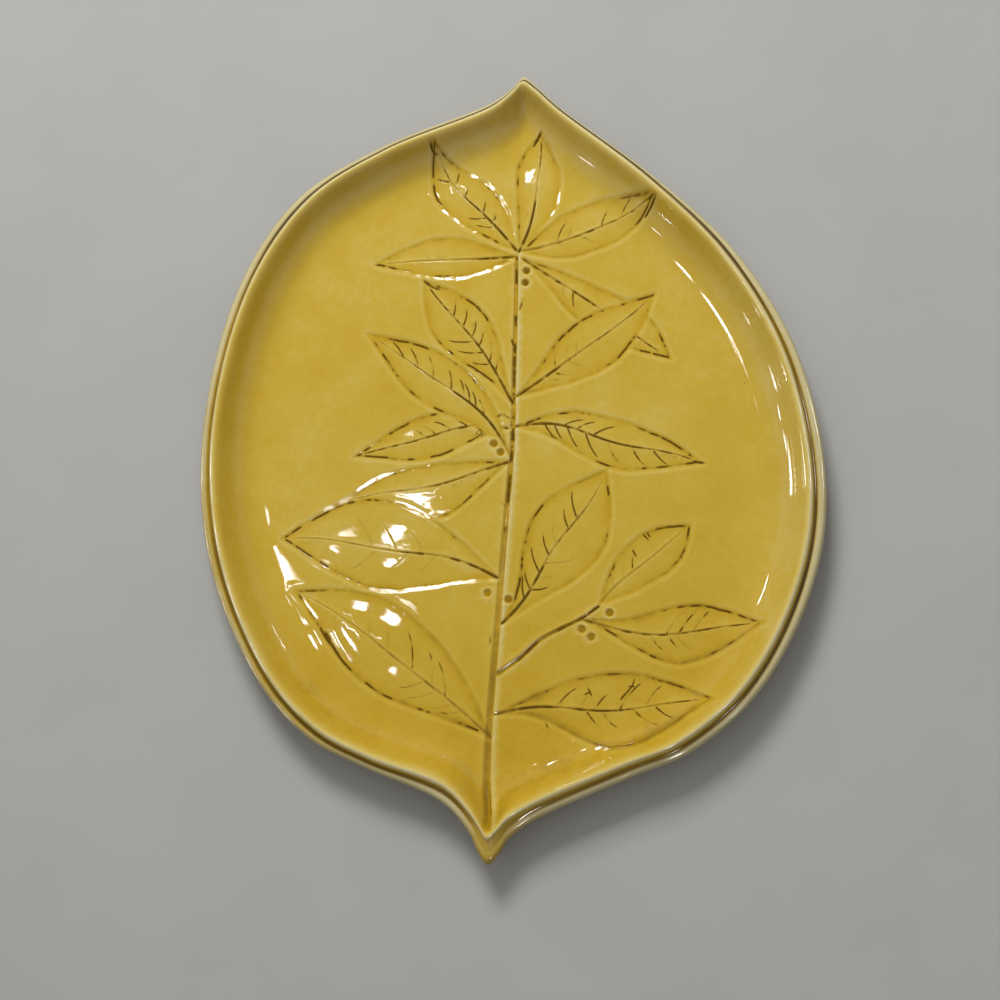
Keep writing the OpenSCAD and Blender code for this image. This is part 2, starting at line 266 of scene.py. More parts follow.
def nearest_on_path(points: Array, path: Array) -> tuple[Array, Array]:
    """Find the nearest spot of an open path for each point.

    Args:
        points: places to measure from.
        path: the path's points.

    Returns:
        The distance of each point, and its nearest spot counted in steps of the path.
    """
    run = np.diff(path, axis=0)
    off = points[:, None] - path[None, :-1]
    share = np.clip((off * run).sum(2) / (run * run).sum(1), 0.0, 1.0)
    gap = ((off - share[..., None] * run) ** 2).sum(2)
    k = gap.argmin(1)
    rows = np.arange(len(points))
    return np.sqrt(gap[rows, k]), k + share[rows, k]


def inside(points: Array, polygon: Array) -> Array:
    """True for each point that lies within a closed polygon.

    Args:
        points: places to test.
        polygon: its corners in order.

    Returns:
        One truth value for each point.
    """
    odd = np.zeros(len(points), bool)
    for a, b in zip(polygon, np.roll(polygon, -1, axis=0), strict=True):
        spans = (a[1] > points[:, 1]) != (b[1] > points[:, 1])
        if spans.any():
            crossing = a[0] + (points[spans, 1] - a[1]) * (b[0] - a[0]) / (b[1] - a[1])
            odd[spans] ^= points[spans, 0] < crossing
    return odd


def linear(colour: str) -> tuple[float, float, float, float]:
    """Turn an sRGB hex colour to linear RGBA, by the curve that the sRGB standard gives."""
    shares = [int(colour[k:k + 2], 16) / 255 for k in (1, 3, 5)]
    return (*(c / 12.92 if c <= 0.04045 else ((c + 0.055) / 1.055) ** 2.4 for c in shares), 1.0)


def add_node(
    tree: bpy.types.NodeTree, kind: str, settings: dict | None = None, inputs: dict | None = None
) -> bpy.types.Node:
    """Add one node with its settings, values and links.

    Args:
        tree: node tree that takes the node.
        kind: Blender's name of the node type.
        settings: attributes of the node; "stops" holds a colour ramp's places and colours.
        inputs: a value or another node's output for each input, by name or number.

    Returns:
        The new node.
    """
    node = tree.nodes.new(kind)
    for name, value in (settings or {}).items():
        if name == "stops":
            stops = node.color_ramp.elements
            while len(stops) < len(value):
                stops.new(1.0)
            for stop, (place, colour) in zip(stops, value, strict=True):
                stop.position, stop.color = place, linear(colour)
        else:
            setattr(node, name, value)
    for name, value in (inputs or {}).items():
        if isinstance(value, bpy.types.NodeSocket):
            tree.links.new(value, node.inputs[name])
        else:
            node.inputs[name].default_value = value
    return node


def per_metre(size: float) -> float:
    """Noise scale, for object coordinates in metres, of a pattern of that size in millimetres."""
    return 1.0 / (size * MM)


@dataclass(frozen=True)
class Finish:
    """A surface: what it is made of, and the fields that its nodes take."""

    name: str

    def material(self) -> bpy.types.Material:
        """The finish as a Blender material, made once.

        Returns:
            The material.
        """
        found = bpy.data.materials.get(self.name)
        if found:
            return found
        made = bpy.data.materials.new(self.name)
        made.use_nodes = True
        made.node_tree.nodes.clear()
        shader = self.shader(made.node_tree)
        add_node(made.node_tree, "ShaderNodeOutputMaterial", inputs={"Surface": shader.outputs[0]})
        return made

    def shader(self, tree: bpy.types.NodeTree) -> bpy.types.ShaderNode:
        """Build the nodes and return the shader that ends them."""
        raise NotImplementedError


@dataclass(frozen=True)
class GlossGlaze(Finish):
    """Clear amber lead-free glaze, poured over buff stoneware and fired to a gloss.

    It is a coloured glass: pale where it ran thin over a crest, honey yellow where it lies level
    and dark brown where it pooled, with a wet shine and small iron specks from the clay.
    """

    stops: tuple[tuple[float, str], ...]
    cloud_size: float = 60.0
    cloud_depth: float = 0.2
    mottle_size: float = 14.0
    mottle_depth: float = 0.2
    grain_size: float = 3.0
    grain_depth: float = 0.14
    peel_size: float = 9.0
    peel_depth: float = 0.002
    speck_spacing: float = 6.0
    speck_rarity: float = 0.8
    speck_share: float = 0.07
    speck_blur: float = 0.03
    speck_strength: float = 0.6
    speck_colour: str = "#6B4E14"
    stain_colour: str = "#4E380A"
    roughness: float = 0.04
    ior: float = 1.5

    def shader(self, tree: bpy.types.NodeTree) -> bpy.types.ShaderNode:
        """Colour by glaze thickness, broken by mottling, specks and the stain's bleed. On the plate the
        thickness also carries some painted shade, a painted reflection and painted light.

        Args:
            tree: the material's node tree.

        Returns:
            The shader that ends the nodes.
        """
        where = add_node(tree, "ShaderNodeTexCoord").outputs["Object"]
        thick = add_node(tree, "ShaderNodeAttribute", {"attribute_name": "glaze"}).outputs["Fac"]
        stain = add_node(tree, "ShaderNodeAttribute", {"attribute_name": "stain"}).outputs["Fac"]
        for size, depth, detail in (
            (self.cloud_size, self.cloud_depth, 2.0),
            (self.mottle_size, self.mottle_depth, 3.0),
            (self.grain_size, self.grain_depth, 2.0),
        ):
            noise = add_node(tree, "ShaderNodeTexNoise", inputs={
                "Vector": where, "Scale": per_metre(size), "Detail": detail, "Roughness": 0.5,
            })
            centred = add_node(tree, "ShaderNodeMath", {"operation": "SUBTRACT"}, {
                0: noise.outputs["Fac"], 1: 0.5,
            })
            thick = add_node(tree, "ShaderNodeMath", {"operation": "MULTIPLY_ADD"}, {
                0: centred.outputs[0], 1: depth, 2: thick,
            }).outputs[0]
        body = add_node(tree, "ShaderNodeValToRGB", {"stops": self.stops}, {"Fac": thick})
        cells = add_node(tree, "ShaderNodeTexVoronoi", inputs={
            "Vector": where, "Scale": per_metre(self.speck_spacing),
        })
        rare = add_node(tree, "ShaderNodeSeparateColor", inputs={"Color": cells.outputs["Color"]})
        radius = add_node(tree, "ShaderNodeMapRange", inputs={
            "Value": rare.outputs[0], "From Min": self.speck_rarity, "From Max": 1.0,
            "To Min": 0.0, "To Max": self.speck_share,
        })
        near = add_node(tree, "ShaderNodeMath", {"operation": "SUBTRACT"}, {
            0: radius.outputs[0], 1: cells.outputs["Distance"],
        })
        speck = add_node(tree, "ShaderNodeMapRange", inputs={
            "Value": near.outputs[0], "From Min": 0.0, "From Max": self.speck_blur,
            "To Min": 0.0, "To Max": self.speck_strength,
        })
        specked = add_node(tree, "ShaderNodeMix", {"data_type": "RGBA"}, {
            0: speck.outputs[0], 6: body.outputs[0], 7: linear(self.speck_colour),
        })
        stained = add_node(tree, "ShaderNodeMix", {"data_type": "RGBA"}, {
            0: stain, 6: specked.outputs[2], 7: linear(self.stain_colour),
        })
        peel = add_node(tree, "ShaderNodeTexNoise", inputs={
            "Vector": where, "Scale": per_metre(self.peel_size), "Detail": 2.0,
        })
        relief = add_node(tree, "ShaderNodeBump", inputs={
            "Height": peel.outputs["Fac"], "Distance": self.peel_depth * MM, "Strength": 1.0,
        })
        return add_node(tree, "ShaderNodeBsdfPrincipled", inputs={
            "Base Color": stained.outputs[2], "Roughness": self.roughness, "IOR": self.ior,
            "Normal": relief.outputs[0],
        })


@dataclass(frozen=True)
class IronStain(Finish):
    """Iron oxide wash rubbed into the pressed lines, under the same clear glaze.

    It goes from a thin tea brown to a dark brown where it lies thick, grainy at its edges, with a
    duller shine than the glaze beside it.
    """

    stops: tuple[tuple[float, str], ...] = (
        (0.0, "#A88414"), (0.35, "#9A7818"), (0.7, "#846414"), (1.0, "#61460C"),
    )
    grain_size: float = 1.2
    grain_depth: float = 0.5
    roughness: float = 0.6
    ior: float = 1.4
    specular: float = 0.1

    def shader(self, tree: bpy.types.NodeTree) -> bpy.types.ShaderNode:
        """Colour by the level of stain, broken by a fine grain.

        Args:
            tree: the material's node tree.

        Returns:
            The shader that ends the nodes.
        """
        where = add_node(tree, "ShaderNodeTexCoord").outputs["Object"]
        level = add_node(tree, "ShaderNodeAttribute", {"attribute_name": "stain"}).outputs["Fac"]
        grain = add_node(tree, "ShaderNodeTexNoise", inputs={
            "Vector": where, "Scale": per_metre(self.grain_size), "Detail": 2.0,
        })
        centred = add_node(tree, "ShaderNodeMath", {"operation": "SUBTRACT"}, {
            0: grain.outputs["Fac"], 1: 0.5,
        })
        broken = add_node(tree, "ShaderNodeMath", {"operation": "MULTIPLY_ADD"}, {
            0: centred.outputs[0], 1: self.grain_depth, 2: level,
        })
        colour = add_node(tree, "ShaderNodeValToRGB", {"stops": self.stops}, {"Fac": broken.outputs[0]})
        return add_node(tree, "ShaderNodeBsdfPrincipled", inputs={
            "Base Color": colour.outputs[0], "Roughness": self.roughness, "IOR": self.ior,
            "Specular IOR Level": self.specular,
        })


@dataclass(frozen=True)
class BareStoneware(Finish):
    """Buff stoneware left bare of glaze so that the foot doesn't stick to the kiln shelf.

    It is a dry, matt, sandy clay with darker grains of grog.
    """

    stops: tuple[tuple[float, str], ...] = ((0.35, "#A98A5C"), (0.6, "#CDB68C"))
    grog_size: float = 1.6
    grit_depth: float = 0.08
    roughness: float = 0.82

    def shader(self, tree: bpy.types.NodeTree) -> bpy.types.ShaderNode:
        """Two clay colours by grain, with the grit raised a little.

        Args:
            tree: the material's node tree.

        Returns:
            The shader that ends the nodes.
        """
        where = add_node(tree, "ShaderNodeTexCoord").outputs["Object"]
        grog = add_node(tree, "ShaderNodeTexNoise", inputs={
            "Vector": where, "Scale": per_metre(self.grog_size), "Detail": 4.0, "Roughness": 0.65,
        })
        colour = add_node(tree, "ShaderNodeValToRGB", {"stops": self.stops}, {"Fac": grog.outputs["Fac"]})
        grit = add_node(tree, "ShaderNodeBump", inputs={
            "Height": grog.outputs["Fac"], "Distance": self.grit_depth * MM,
        })
        return add_node(tree, "ShaderNodeBsdfPrincipled", inputs={
            "Base Color": colour.outputs[0], "Roughness": self.roughness, "Normal": grit.outputs[0],
        })


@dataclass(frozen=True)
class StudioFloor(Finish):
    """Matt painted board under the plate: a plain pale grey with a faint cloud in it."""

    stops: tuple[tuple[float, str], ...] = ((0.4, "#ABAAA6"), (0.6, "#ADACA8"))
    cloud_size: float = 60.0
    roughness: float = 0.9

    def shader(self, tree: bpy.types.NodeTree) -> bpy.types.ShaderNode:
        """Two near greys in soft clouds.

        Args:
            tree: the material's node tree.

        Returns:
            The shader that ends the nodes.
        """
        where = add_node(tree, "ShaderNodeTexCoord").outputs["Object"]
        cloud = add_node(tree, "ShaderNodeTexNoise", inputs={
            "Vector": where, "Scale": per_metre(self.cloud_size), "Detail": 3.0,
        })
        colour = add_node(tree, "ShaderNodeValToRGB", {"stops": self.stops}, {"Fac": cloud.outputs["Fac"]})
        return add_node(tree, "ShaderNodeBsdfPrincipled", inputs={
            "Base Color": colour.outputs[0], "Roughness": self.roughness,
        })


AMBER_GLAZE = GlossGlaze("amber gloss glaze on stoneware", stops=(
    (0.0, "#D8CA96"), (0.2, "#D0BA6A"), (0.45, "#C5A538"), (0.6, "#BE9A22"),
    (0.8, "#93730F"), (1.0, "#5E4408"),
))
BAND_GLAZE = GlossGlaze("thin run glaze on stoneware", stops=(
    (0.0, "#D2C698"), (0.3, "#BFB07A"), (0.6, "#B3942E"), (1.0, "#7A5C12"),
))
# Its palest stop, which the bead takes at the stalk's end, is partly painted light on the tip.
POOLED_GLAZE = GlossGlaze("pooled dark glaze", stops=(
    (0.0, "#CCA834"), (0.35, "#9A7812"), (0.7, "#6E5204"), (1.0, "#402E02"),
))
STAIN = IronStain("iron oxide stain under glaze")
BARE_CLAY = BareStoneware("bare fired stoneware")
FLOOR = StudioFloor("matt painted board")

# Unevenness of the handwork: how many waves go round the rim and round the wall's foot, then the
# floor's slow waves, each by its lengths along both axes, a phase and its share of the swell.
RIM_WAVES: tuple[int, ...] = (3, 8, 13, 23)
FOOT_WAVES: tuple[int, ...] = (13, 19, 29, 41)
FLOOR_WAVES: tuple[tuple[float, float, float, float], ...] = (
    (97, 51, 0.4, 1.0), (-53, 71, 1.9, 0.7), (38, 64, 3.1, 0.3), (24, -39, 5.2, 0.12),
)


@dataclass
class PlateForm:
    """Levels, outline and sections that all pieces of the plate share, in millimetres."""

    half_w: float
    half_l: float
    foot_h: float
    floor_z: float
    seam_z: float
    band_low_z: float
    band_top_z: float
    plate_h: float
    lip_w: float = 5.0
    wall_run: float = 18.0
    band_w: float = 5.0
    base_run_share: float = 0.8
    spine_share: float = 0.55
    step: float = 1.6
    least_steps: int = 4
    crest_wave: float = 0.35
    crest_phase: float = 0.7
    crest_fade: float = 12.0
    wave_share: float = 0.24
    swell: float = 0.15
    swell_span: Pair = (8.0, 26.0)
    lopsided: float = 0.12
    ripple: float = 0.07
    ripple_rise: Pair = (8.0, 17.0)
    ripple_fall: Pair = (26.0, 40.0)
    outline: Array = field(init=False)
    edge: Array = field(init=False)
    facing: Array = field(init=False)
    turn: Array = field(init=False)
    section: Array = field(init=False)

    @classmethod
    def from_frame(cls, print_depth: float = 0.8) -> "PlateForm":
        """Read the levels off the CAD nodes.

        Args:
            print_depth: how far the stain's underside lies below the floor.

        Returns:
            The form that the frame gives.
        """
        band_low, band_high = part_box("rim_band")
        dish_low, dish_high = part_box("dish_slab")
        return cls(
            half_w=(band_high.x - band_low.x) / 2 / MM,
            half_l=(band_high.y - band_low.y) / 2 / MM,
            foot_h=dish_low.z / MM,
            floor_z=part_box("stem_inlay")[0].z / MM + print_depth,
            seam_z=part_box("seam_glaze")[0].z / MM,
            band_low_z=band_low.z / MM,
            band_top_z=band_high.z / MM,
            plate_h=dish_high.z / MM,
        )

    def __post_init__(self) -> None:
        """Work out the outline, the dish's edge and the dish's inner section."""
        knots = np.array(OUTLINE_SHARES) * (self.half_w, self.half_l)
        chords = np.linalg.norm(np.roll(knots, -1, axis=0) - knots, axis=1)
        steps = [max(self.least_steps, round(chord / self.step)) for chord in chords]
        widths = self.band_w * np.array(BAND_SHARES)[:, None]
        self.outline = spline_loop(knots, steps)
        self.edge = spline_loop(knots + self.inward(knots) * widths, steps)
        self.facing = self.inward(self.edge)
        self.turn = 2 * np.pi * np.arange(len(self.edge)) / len(self.edge)
        lip = np.array(LIP_SHARES) * (self.lip_w, self.plate_h - self.seam_z) + (0, self.seam_z)
        drop = lip[-1, 1] - self.floor_z
        wall = np.array(WALL_SHARES) * (self.wall_run, drop) + (self.lip_w, self.floor_z)
        self.section = np.vstack([lip, wall])

    def inward(self, points: Array) -> Array:
        """Unit vectors from points of the rim to their places on the spine."""
        aim = np.stack([np.zeros(len(points)), self.spine_share * points[:, 1]], axis=1) - points
        return aim / np.linalg.norm(aim, axis=1)[:, None]

    def ring_in(self, inset: float) -> Array:
        """The dish's edge set inwards."""
        return self.edge + self.facing * inset

    def ring_out(self, shares: Array) -> Array:
        """A ring between the dish's edge and the plate's outline, with a share for each point."""
        return self.edge + (self.outline - self.edge) * shares[:, None]

    def inset_of(self, points: Array, batch: int = 1500) -> tuple[Array, Array]:
        """How far in from the dish's edge each point lies, along the line to the spine.

        Args:
            points: places inside the edge.
            batch: how many points are worked out at a time.

        Returns:
            The inset of each point, and its place round the edge counted in steps.
        """
        ahead_edge = np.roll(self.edge, -1, axis=0)
        insets, places = [], []
        for start in range(0, len(points), batch):
            part = points[start:start + batch]
            off = part[:, None] - self.edge[None]
            cross = self.facing[:, 0] * off[..., 1] - self.facing[:, 1] * off[..., 0]
            ahead = (self.facing * off).sum(2) > 0
            after = np.roll(cross, -1, axis=1)
            reach = np.where((cross * after <= 0) & ahead, np.hypot(off[..., 0], off[..., 1]), np.inf)
            k = reach.argmin(1)
            rows = np.arange(len(part))
            c0, c1 = cross[rows, k], after[rows, k]
            share = c0 / np.where(c0 == c1, 1, c0 - c1)
            foot = self.edge[k] * (1 - share)[:, None] + ahead_edge[k] * share[:, None]
            insets.append(np.linalg.norm(part - foot, axis=1))
            places.append(k + share)
        return np.concatenate(insets), np.concatenate(places)

    def wave(self, seed: float) -> Array:
        """A slow hand-made unevenness round the rim, from nought to one."""
        parts = sum(np.sin(self.turn * n + seed * n) / k for k, n in enumerate(RIM_WAVES, start=1))
        return 0.5 + self.wave_share * parts

    def top_z(self, insets: Array) -> Array:
        """Height of the dish's upper face at each inset."""
        return monotone_curve(self.section, np.asarray(insets, float))

    def rim_z(self, insets: Array, places: Array) -> Array:
        """Height of the upper face with its unevenness.

        The crest rises and falls, the wall is a little steeper on the left, and its foot ripples.

        Args:
            insets: how far in from the dish's edge.
            places: places round the edge, counted in steps.

        Returns:
            The height at each.
        """
        crest = max(LIP_SHARES, key=lambda share: share[1])[0] * self.lip_w
        weight = smooth_step(insets, 0.0, crest) * (1 - smooth_step(insets, crest, self.crest_fade))
        steps = np.arange(len(self.edge))
        wave = np.interp(places, steps, self.wave(self.crest_phase), period=len(steps))
        turn = 2 * np.pi * places / len(steps)
        stretch = 1 + self.lopsided * np.sin(turn)
        even = np.minimum(insets, self.lip_w) + np.maximum(insets - self.lip_w, 0) / stretch
        foot = smooth_step(insets, *self.ripple_rise) * (1 - smooth_step(insets, *self.ripple_fall))
        ripples = sum(np.sin(turn * n + n * n) for n in FOOT_WAVES) / 2
        return self.top_z(even) - self.crest_wave * weight * wave + self.ripple * foot * ripples

    def lip_ring(self, inset: float) -> Array:
        """A ring of the lip or the upper wall."""
        steps = np.arange(len(self.edge))
        return at_level(self.ring_in(inset), self.rim_z(np.full(len(steps), inset), steps))

    def floor_swell(self, points: Array, insets: Array) -> Array:
        """Slow unevenness of the rolled floor, which dies out up the wall."""
        total = sum(d * np.sin(points[:, 0] / a + points[:, 1] / b + c) for a, b, c, d in FLOOR_WAVES)
        return self.swell * total * smooth_step(insets, *self.swell_span)


@dataclass(frozen=True)
class Groove:
    """Section of a pressed line.

    Depth, half width and the height of its raised shoulders are in millimetres. Flat is the share
    of its width that is a level bottom, fill how high the stain stands in it, bleed how strongly
    the stain colours the glaze beside it, lean how much lower the left shoulder is, and faint the
    share of its depth that a line without stain has.
    """

    depth: float
    half_width: float
    flat: float
    shoulder: float
    fill: float
    bleed: float
    lean: float = 0.0
    faint: float = 1.0


class LineKind(Enum):
    """The kinds of line in the print."""

    STEM = Groove(depth=0.8, half_width=1.75, flat=0.35, shoulder=0.3, fill=0.3, bleed=0.5, lean=0.75)
    TWIG = Groove(depth=0.6, half_width=1.3, flat=0.3, shoulder=0.2, fill=0.4, bleed=0.6, lean=0.4)
    RIB = Groove(depth=0.4, half_width=0.9, flat=0.1, shoulder=0.06, fill=0.7, bleed=0.65, faint=0.5)
    VEIN = Groove(depth=0.18, half_width=0.55, flat=0.0, shoulder=0.0, fill=0.8, bleed=0.5, faint=0.15)
    EDGE = Groove(depth=0.16, half_width=0.65, flat=0.0, shoulder=0.0, fill=1.0, bleed=0.65, faint=0.0)


# Sizes of the strokes that the stain breaks into, in millimetres, and how much each counts.
STROKES: tuple[Pair, ...] = ((8.0, 0.8), (3.4, 1.0), (1.5, 0.8))


@dataclass
class PrintLine:
    """One pressed line: its path at even steps, and its width and stain along it."""

    spacing: ClassVar[float] = 1.0
    least_points: ClassVar[int] = 3
    mesh_shares: ClassVar[tuple[float, ...]] = (0.0, -0.4, 0.4, -0.8, 0.8, -1.25, 1.25, -1.8, 1.8)

    kind: LineKind
    path: Array
    width: Array
    stain: Array

    @classmethod
    def drawn(
        cls,
        kind: LineKind,
        points: Array,
        levels: Sequence[float],
        seed: float,
        taper: float,
        broken: float,
    ) -> "PrintLine":
        """Draw a line and break its stain into strokes.

        Args:
            kind: which section the line has.
            points: the line's points, from its root.
            levels: stain levels at even places along it.
            seed: sets where the strokes break.
            taper: width left at the far end, as a share.
            broken: how strongly the stain breaks into strokes.

        Returns:
            The line.
        """
        path = even_path(points, cls.spacing)
        along = lengths_along(path)
        share = along / along[-1]
        level = np.interp(share, np.linspace(0, 1, len(levels)), levels)
        chance = sum(part * uneven(along, size, seed) for size, part in STROKES)
        width = 1 + (taper - 1) * share
        return cls(kind, path, width, np.clip(level * (1 + broken * chance), 0.0, 1.0))

    def kept(self, keep: Array) -> list["PrintLine"]:
        """Cut the line to the stretches where keep is true.

        Args:
            keep: one truth value for each point.

        Returns:
            The stretches that are long enough.
        """
        bounds = np.flatnonzero(np.diff(np.concatenate([[0], keep.astype(int), [0]])))
        return [
            PrintLine(self.kind, self.path[a:b], self.width[a:b], self.stain[a:b])
            for a, b in zip(bounds[::2], bounds[1::2], strict=True)
            if b - a >= self.least_points
        ]

    def mesh_points(self) -> Array:
        """Points along and beside the line that let a mesh take its section."""
        aside = left_of(self.path) * (self.kind.value.half_width * self.width)[:, None]
        return np.concatenate([self.path + aside * share for share in self.mesh_shares])


def curve_at(shares: Triple, along: Array) -> Array:
    """A smooth curve from nought to nought through three shares at the quarters of its length.

    Args:
        shares: its heights at the quarters.
        along: places from nought to one.

    Returns:
        The height at each place.
    """
    ends = (shares[0] + shares[2]) / math.sqrt(2)
    waves = ((ends + shares[1]) / 2, (shares[0] - shares[2]) / 2, (ends - shares[1]) / 2)
    return sum(wave * np.sin(np.pi * (k + 1) * along) for k, wave in enumerate(waves))


# Waves of a leaf's edge: how fast each runs along the leaf, a factor on its phase, and its size.
LEAF_WAVES: tuple[Triple, ...] = ((23, 1, 1.0), (41, 2, 0.8), (83, 3, 0.5))


@dataclass(frozen=True)
class Leaf:
    """One printed leaf.

    Root and tip are shares of the plate's half width and half length. The sides and the midrib
    stand off the line from root to tip by shares of the leaf's length. Veins are given by their
    places along that line, and stain by levels from root to tip. What all leaves have alike is
    kept in the class: the stretch of the edge that is pressed, the midrib's end, and a vein's run
    along the leaf, reach, least reach, room and bow, all as shares.
    """

    drawn_points: ClassVar[int] = 80
    rib_points: ClassVar[int] = 50
    vein_points: ClassVar[int] = 8
    wave_phase: ClassVar[float] = 40.0
    calm_share: ClassVar[float] = 0.08
    edge_span: ClassVar[Pair] = (0.05, 0.985)
    rib_end: ClassVar[float] = 0.93
    vein_reach: ClassVar[Pair] = (0.7, 0.6)
    vein_run: ClassVar[float] = 0.085
    vein_out: ClassVar[float] = 0.1
    vein_least: ClassVar[float] = 0.02
    vein_room: ClassVar[float] = 0.7
    vein_bow: ClassVar[float] = 0.12
    vein_level: ClassVar[Pair] = (0.85, 0.35)

    root: Pair
    tip: Pair
    left: Triple
    right: Triple
    rib: Triple
    left_veins: tuple[float, ...]
    right_veins: tuple[float, ...]
    left_stain: tuple[float, ...]
    right_stain: tuple[float, ...]
    rib_stain: tuple[float, ...]
    vein_stain: float

    def place(self, form: PlateForm, along: Array, aside: Array) -> Array:
        """Points along the leaf, a share of its length to the left of its middle line.

        Args:
            form: the plate's form.
            along: shares of the way from root to tip.
            aside: shares of the leaf's length.

        Returns:
            One point for each share.
        """
        scale = np.array([form.half_w, form.half_l])
        root, tip = np.array(self.root) * scale, np.array(self.tip) * scale
        axis = tip - root
        left = np.array([-axis[1], axis[0]])
        return root + np.outer(along, axis) + np.outer(aside, left)

    def length(self, form: PlateForm) -> float:
        """Length of the leaf from root to tip."""
        across, along = self.tip[0] - self.root[0], self.tip[1] - self.root[1]
        return math.hypot(across * form.half_w, along * form.half_l)

    def side(self, form: PlateForm, side: int, along: Array, wobble: float = 0.12) -> Array:
        """How far the leaf reaches to one side, as shares of its length, a little uneven.

        Args:
            form: the plate's form.
            side: one for the left, minus one for the right.
            along: places along the leaf.
            wobble: depth of the unevenness in millimetres.

        Returns:
            The reach at each place.
        """
        phase = self.wave_phase * vary(self.tip[0], self.tip[1], side)
        waves = sum(size * np.sin(n * along + k * phase) for n, k, size in LEAF_WAVES)
        reach = curve_at(self.left if side > 0 else self.right, along)
        return reach + wobble / self.length(form) * waves * smooth_step(reach, 0.0, self.calm_share)

    def blade(self, form: PlateForm, spacing: float = 1.0) -> Array:
        """Closed outline of the leaf, root to tip on the left and back on the right.

        Args:
            form: the plate's form.
            spacing: about how far apart its points lie.

        Returns:
            The outline's points.
        """
        along = np.linspace(0, 1, self.drawn_points)
        left = even_path(self.place(form, along, self.side(form, 1, along)), spacing)
        right = even_path(self.place(form, along, -self.side(form, -1, along)), spacing)
        return np.concatenate([left, right[-2:0:-1]])

    def edge_line(self, form: PlateForm, side: int, seed: float, set_in: float = 0.75) -> PrintLine:
        """The pressed edge on one side, just inside the leaf's outline.

        Args:
            form: the plate's form.
            side: one for the left, minus one for the right.
            seed: sets where the stain breaks.
            set_in: how far inside the outline it lies, in millimetres.

        Returns:
            The line.
        """
        along = np.linspace(*self.edge_span, self.drawn_points)
        aside = np.maximum(self.side(form, side, along) - set_in / self.length(form), 0.0)
        levels = self.left_stain if side > 0 else self.right_stain
        points = self.place(form, along, side * aside)
        return PrintLine.drawn(LineKind.EDGE, points, levels, seed, taper=1.0, broken=1.0)

    def rib_line(self, form: PlateForm, seed: float) -> PrintLine:
        """The midrib, from the leaf's root almost to its tip.

        Args:
            form: the plate's form.
            seed: sets where the stain breaks.

        Returns:
            The line.
        """
        along = np.linspace(0.0, self.rib_end, self.rib_points)
        points = self.place(form, along, curve_at(self.rib, along))
        return PrintLine.drawn(LineKind.RIB, points, self.rib_stain, seed, taper=0.45, broken=0.4)

    def vein_line(self, form: PlateForm, side: int, station: float, seed: float) -> PrintLine:
        """One side vein, which leans to the leaf's tip.

        Args:
            form: the plate's form.
            side: one for the left, minus one for the right.
            station: where it leaves the rib, as a share of the leaf's length.
            seed: sets where the stain breaks.

        Returns:
            The line.
        """
        reach = self.vein_reach[0] + self.vein_reach[1] * vary(seed, station, 1.0)
        run = np.linspace(0.0, 1.0, self.vein_points)
        along = station + self.vein_run * reach * run
        room = self.vein_room * curve_at(self.left if side > 0 else self.right, along[-1:])[0]
        free = room - side * curve_at(self.rib, along[-1:])[0]
        out = min(self.vein_out * reach, max(self.vein_least, free))
        aside = curve_at(self.rib, along) + side * out * (run + self.vein_bow * np.sin(np.pi * run))
        level = self.vein_stain * (self.vein_level[0] + self.vein_level[1] * vary(station, seed, 2.0))
        points = self.place(form, along, aside)
        return PrintLine.drawn(LineKind.VEIN, points, (level, level), seed, taper=0.6, broken=0.4)

    def lines(self, form: PlateForm, seed: float) -> list[PrintLine]:
        """All pressed lines of the leaf: two edges, the rib and the veins.

        Args:
            form: the plate's form.
            seed: number that the lines' own seeds start from.

        Returns:
            The lines.
        """
        made = [self.edge_line(form, side, seed + side / 7) for side in (1, -1)]
        made.append(self.rib_line(form, seed + 0.5))
        for side, stations in ((1, self.left_veins), (-1, self.right_veins)):
            made += [self.vein_line(form, side, station, seed + station) for station in stations]
        return made


